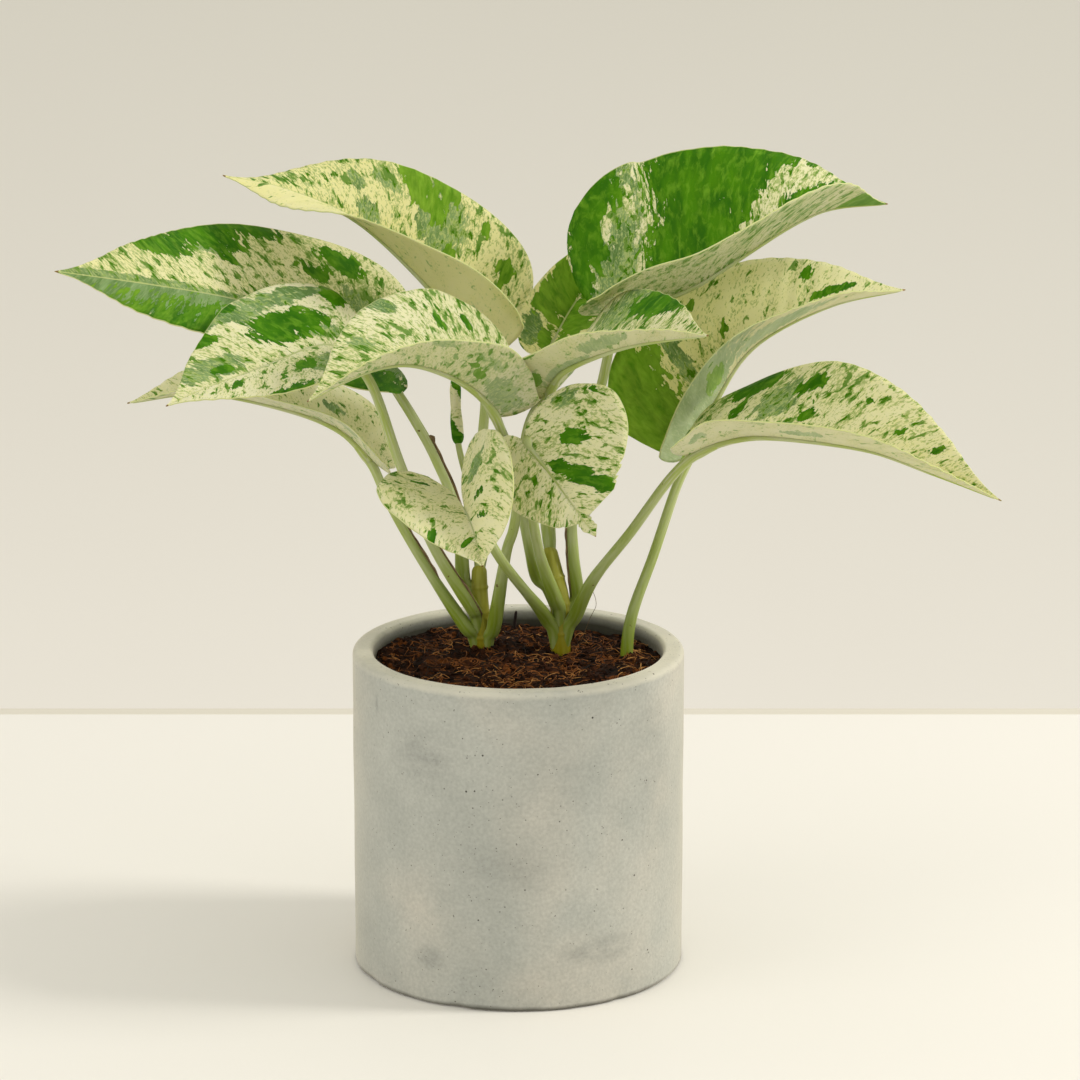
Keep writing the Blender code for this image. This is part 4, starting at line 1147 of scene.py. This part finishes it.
ROOTED_SHAPE = ((0.0, 2.15), (0.2, 2.1), (0.45, 1.75), *KNEE)
MIDRIB_SHAPE = ((0.0, 1.55), (0.06, 1.3), (0.3, 0.85), (0.7, 0.5), (1.0, 0.22))
print("petioles with points of their own:", len(PETIOLES))

# %% [markdown]
# ## Growing the stalks
# The route of a petiole is worked out from its stem and its blade, so it meets both. Its
# front has a shallow channel, which the girth function presses in.


# %% Stems and petioles
def petiole_route(name):
    """The petiole's line: from inside its stem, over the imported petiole's points, to the blade."""
    spec, blade = PETIOLES[name], BLADES[name]
    _, up, _ = blade.frame(0.0)
    ahead = unit(blade.at(0.05) - blade.at(0.0))
    knee = [blade.at(0.0) - up * 2.0 - ahead * 0.8, blade.at(0.05) - up * 1.2, blade.at(0.1) - up * 1.05]
    if "root" in spec:
        return [spec["root"]] + spec["way"] + knee
    at, length = curve_through(STEMS[spec["stem"]]["route"])
    if "turn" not in spec:
        return [at(0.93)] + spec["way"] + knee
    part, turn = spec["part"], math.radians(spec["turn"])
    out = np.array([math.cos(turn), math.sin(turn), 0.0])
    radius = STEMS[spec["stem"]]["radius"] * steps_between(STEM_TAPER, part)
    foot = [at(max(part - 8.0 / length, 0.0)) + out * 0.45 * radius, at(part) + out * 0.9 * radius,
            at(part + 4.0 / length) + out * (radius + 2.6)]
    return foot + spec["way"] + knee


def build_stem(name, spec):
    _, length = curve_through(spec["route"])

    def radius(part):
        z = spec["route"][0][2] + part * length
        scar = sum(SCAR_HEIGHT * math.exp(-((z - s) / SCAR_WIDTH) ** 2) for s in spec["scars"])
        return spec["radius"] * steps_between(STEM_TAPER, part) + scar

    mesh = grown_tube(name + "_skin", spec["route"], radius, around=24, along=110)
    return piece(mesh, [stem_skin], "stem", name)


def build_petiole(name):
    shape = ROOTED_SHAPE if "root" in PETIOLES[name] else FOOT_SHAPE

    def girth(turn, part):
        return 1.0 - 0.13 * math.exp(-(turn * 3.6) ** 2) * min(1.0, 6 * (1 - part))

    mesh = grown_tube("stalk_" + name, petiole_route(name), lambda part: steps_between(shape, part),
                      around=20, along=70, girth=girth)
    return piece(mesh, [stalk], "petiole", "petiole_" + name)


def build_midrib(name, blade):
    """The raised midrib under a blade, from the petiole to the tip."""
    def radius(part):
        return steps_between(MIDRIB_SHAPE, part)

    route = [blade.at(part) - blade.frame(part)[1] * (0.35 + 0.55 * radius(part))
             for part in np.linspace(0.0, 0.985, 14)]
    return piece(grown_tube("midrib_" + name, route, radius, around=10, along=40), [stalk], "petiole")


for name, spec in STEMS.items():
    build_stem(name, spec)
for name, blade in BLADES.items():
    build_petiole(name)
    build_midrib(name, blade)
print("stems, petioles and midribs:", len(STEMS) + 2 * len(BLADES))

# %% [markdown]
# ## Dry sheaths, twigs and a hair
# While a petiole is young, two thin wings along it wrap the next leaf. Later they dry to a
# brown papery edge that is still there on the lower half of the older petioles, with a small
# hook where it ended. Each is a narrow, ragged strip on the petiole's side with a thickness.
# Two dark twigs stick in the coir, and one fine hair stands beside the middle stem.

# %% Dry sheaths, twigs and a hair
SHEATHS = {
    "left": dict(low=140, high=173, way=(1, -0.4, 0), hook=1.3),
    "left_front": dict(low=113, high=142, way=(1, -0.5, 0), hook=0.3),
    "left_low": dict(low=124, high=147, way=(1, -0.4, 0), hook=0.5),
    "front_left": dict(low=119, high=151, way=(1, -0.4, 0), hook=0.4),
    "top_right": dict(low=119, high=147, way=(-1, -0.8, 0), hook=0.4),
}
SHEATH_THICKNESS = 0.3
TWIGS = {"twig_right": ([(18.4, 33, 100), (18.5, 27, 108), (19.2, 23, 116.6)], 0.5),
         "twig_back": ([(-1.8, 44, 100), (-1.3, 43, 105), (-0.9, 42, 108.6)], 0.7)}
HAIR = [(20, 21, 101), (24, 20, 112), (26, 20, 116.5), (25, 20, 121), (22.5, 20, 123.5)]
HAIR_RADIUS = 0.09


def papery(name, dark, light):
    """Dead plant skin: brown with darker streaks along its length, dull."""
    mat, tree = new_material(name)
    flow = add(tree, "UVMap", output="UV", uv_map="flow")
    streaks = stretched_noise(tree, flow, 3.0, 16.0, 3.0, 4.0)
    colour = coated(tree, dark, (streaks, 0.35, 0.65, light))
    close_material(tree, colour, {"Roughness": 0.7, "IOR": 1.45}, streaks)
    return mat


def build_sheath(name, low, high, way, hook):
    at, _ = curve_through(petiole_route(name))
    parts = [part for part in np.linspace(0, 1, 240) if low < at(part)[2] < high]

    def place(x, share):
        part = blend(parts[0], parts[-1], share)
        out = squared(np.array(way, float), direction(at, part, 0.01))
        ragged = 0.75 + 0.5 * noise.noise(Vector((share * 7, low, 0.5)))
        width = ragged * min(1.0, 5 * share, 12 * (1 - share) + 0.3)
        width += hook * max(0.0, 1 - abs(share - 0.97) / 0.05)
        return at(part) + out * (0.88 * steps_between(FOOT_SHAPE, part) + 0.5 * (x + 1) * width)

    def flow(x, share):
        return (high - low) / 20 * (2 * share - 1), x / 20

    obj = piece(shaped_grid("sheath_" + name, 3, 60, place, flow), [dry_sheath], "petiole")
    thicken(obj, SHEATH_THICKNESS)


def knotty(turn, part):
    return 1 + 0.25 * noise.noise(Vector((turn * 2, part * 9, 1.0)))


dry_sheath = papery("dry_sheath", "4a3318", "86704a")
bark = papery("twig_bark", "17100a", "33241a")
for name, spec in SHEATHS.items():
    build_sheath(name, **spec)
for name, (route, thick) in TWIGS.items():
    twig = grown_tube(name, route, lambda part, thick=thick: thick * (1 - 0.35 * part), around=10, along=24,
                      girth=knotty)
    piece(twig, [bark], "soil")
piece(grown_tube("fine_hair", HAIR, lambda part: HAIR_RADIUS, around=5, along=40), [dry_sheath], "soil")
print("sheaths:", len(SHEATHS), "twigs:", len(TWIGS))

# %% [markdown]
# ## The young leaf
# A new pothos leaf comes up rolled like a paper cone around itself. It is a tube again,
# thickest at its middle, whose girth grows once around and then steps back: that step is
# the free edge of the roll. It uses the leaf's own colours, in green and pale slanting bands.
# Its thin stalk parts slowly from the top left petiole, where that petiole's wings held it.

# %% Young leaf
YOUNG_STALK = [(-12.4, 20.6, 143), (-14, 23.5, 150), (-15.7, 25.6, 155), (-18, 28, 161), (-20, 30, 169),
               (-20.6, 32, 175)]
YOUNG_LEAF = [(-20.1, 30.1, 169.3), (-21, 34, 180), (-21, 37, 193)]
YOUNG_SHAPE = ((0.0, 1.25), (0.1, 1.9), (0.3, 1.95), (0.5, 1.55), (0.75, 1.85), (0.9, 1.4), (1.0, 0.6))
YOUNG_MARKS = {"grey": 0.1, "fleck": 0.4}


def rolled(turn, part):
    """The free edge of the roll: thicker around, then a quick step back."""
    around = (0.5 * (turn + 1) + 0.35 * part) % 1.0
    return 1.0 + 0.14 * min(around / 0.92, (1 - around) / 0.08)


def green_bands(place):
    """1 in the middle of a green band and -1 between two, for a point in mm; the bands slant."""
    band = (place.z - 170) / 23 + 0.06 * (place.x + 20.8)
    return math.cos(2 * math.pi * 1.25 * (band - 0.9))


piece(grown_tube("stalk_young", YOUNG_STALK, lambda part: 1.3 - 0.3 * part, around=14, along=30),
      [stalk], "petiole", "petiole_young")
young_mesh = grown_tube("rolled_leaf", YOUNG_LEAF, lambda part: steps_between(YOUNG_SHAPE, part),
                        around=48, along=60, girth=rolled)
for mark in MARKS:
    shares = young_mesh.attributes.new(mark, "FLOAT", "POINT")
    for vert in young_mesh.vertices:
        even = YOUNG_MARKS.get(mark, 0.0)
        shares.data[vert.index].value = green_bands(vert.co / MM) if mark == "deep" else even
piece(young_mesh, [leaf_top], "leaf", "leaf_young")
print("young leaf:", len(young_mesh.polygons), "faces")

# %% [markdown]
# ## Sizes
# The finer pieces are meant to stay inside the imported model's box. The last line updates the scene.

# %% Sizes
bpy.context.view_layer.update()
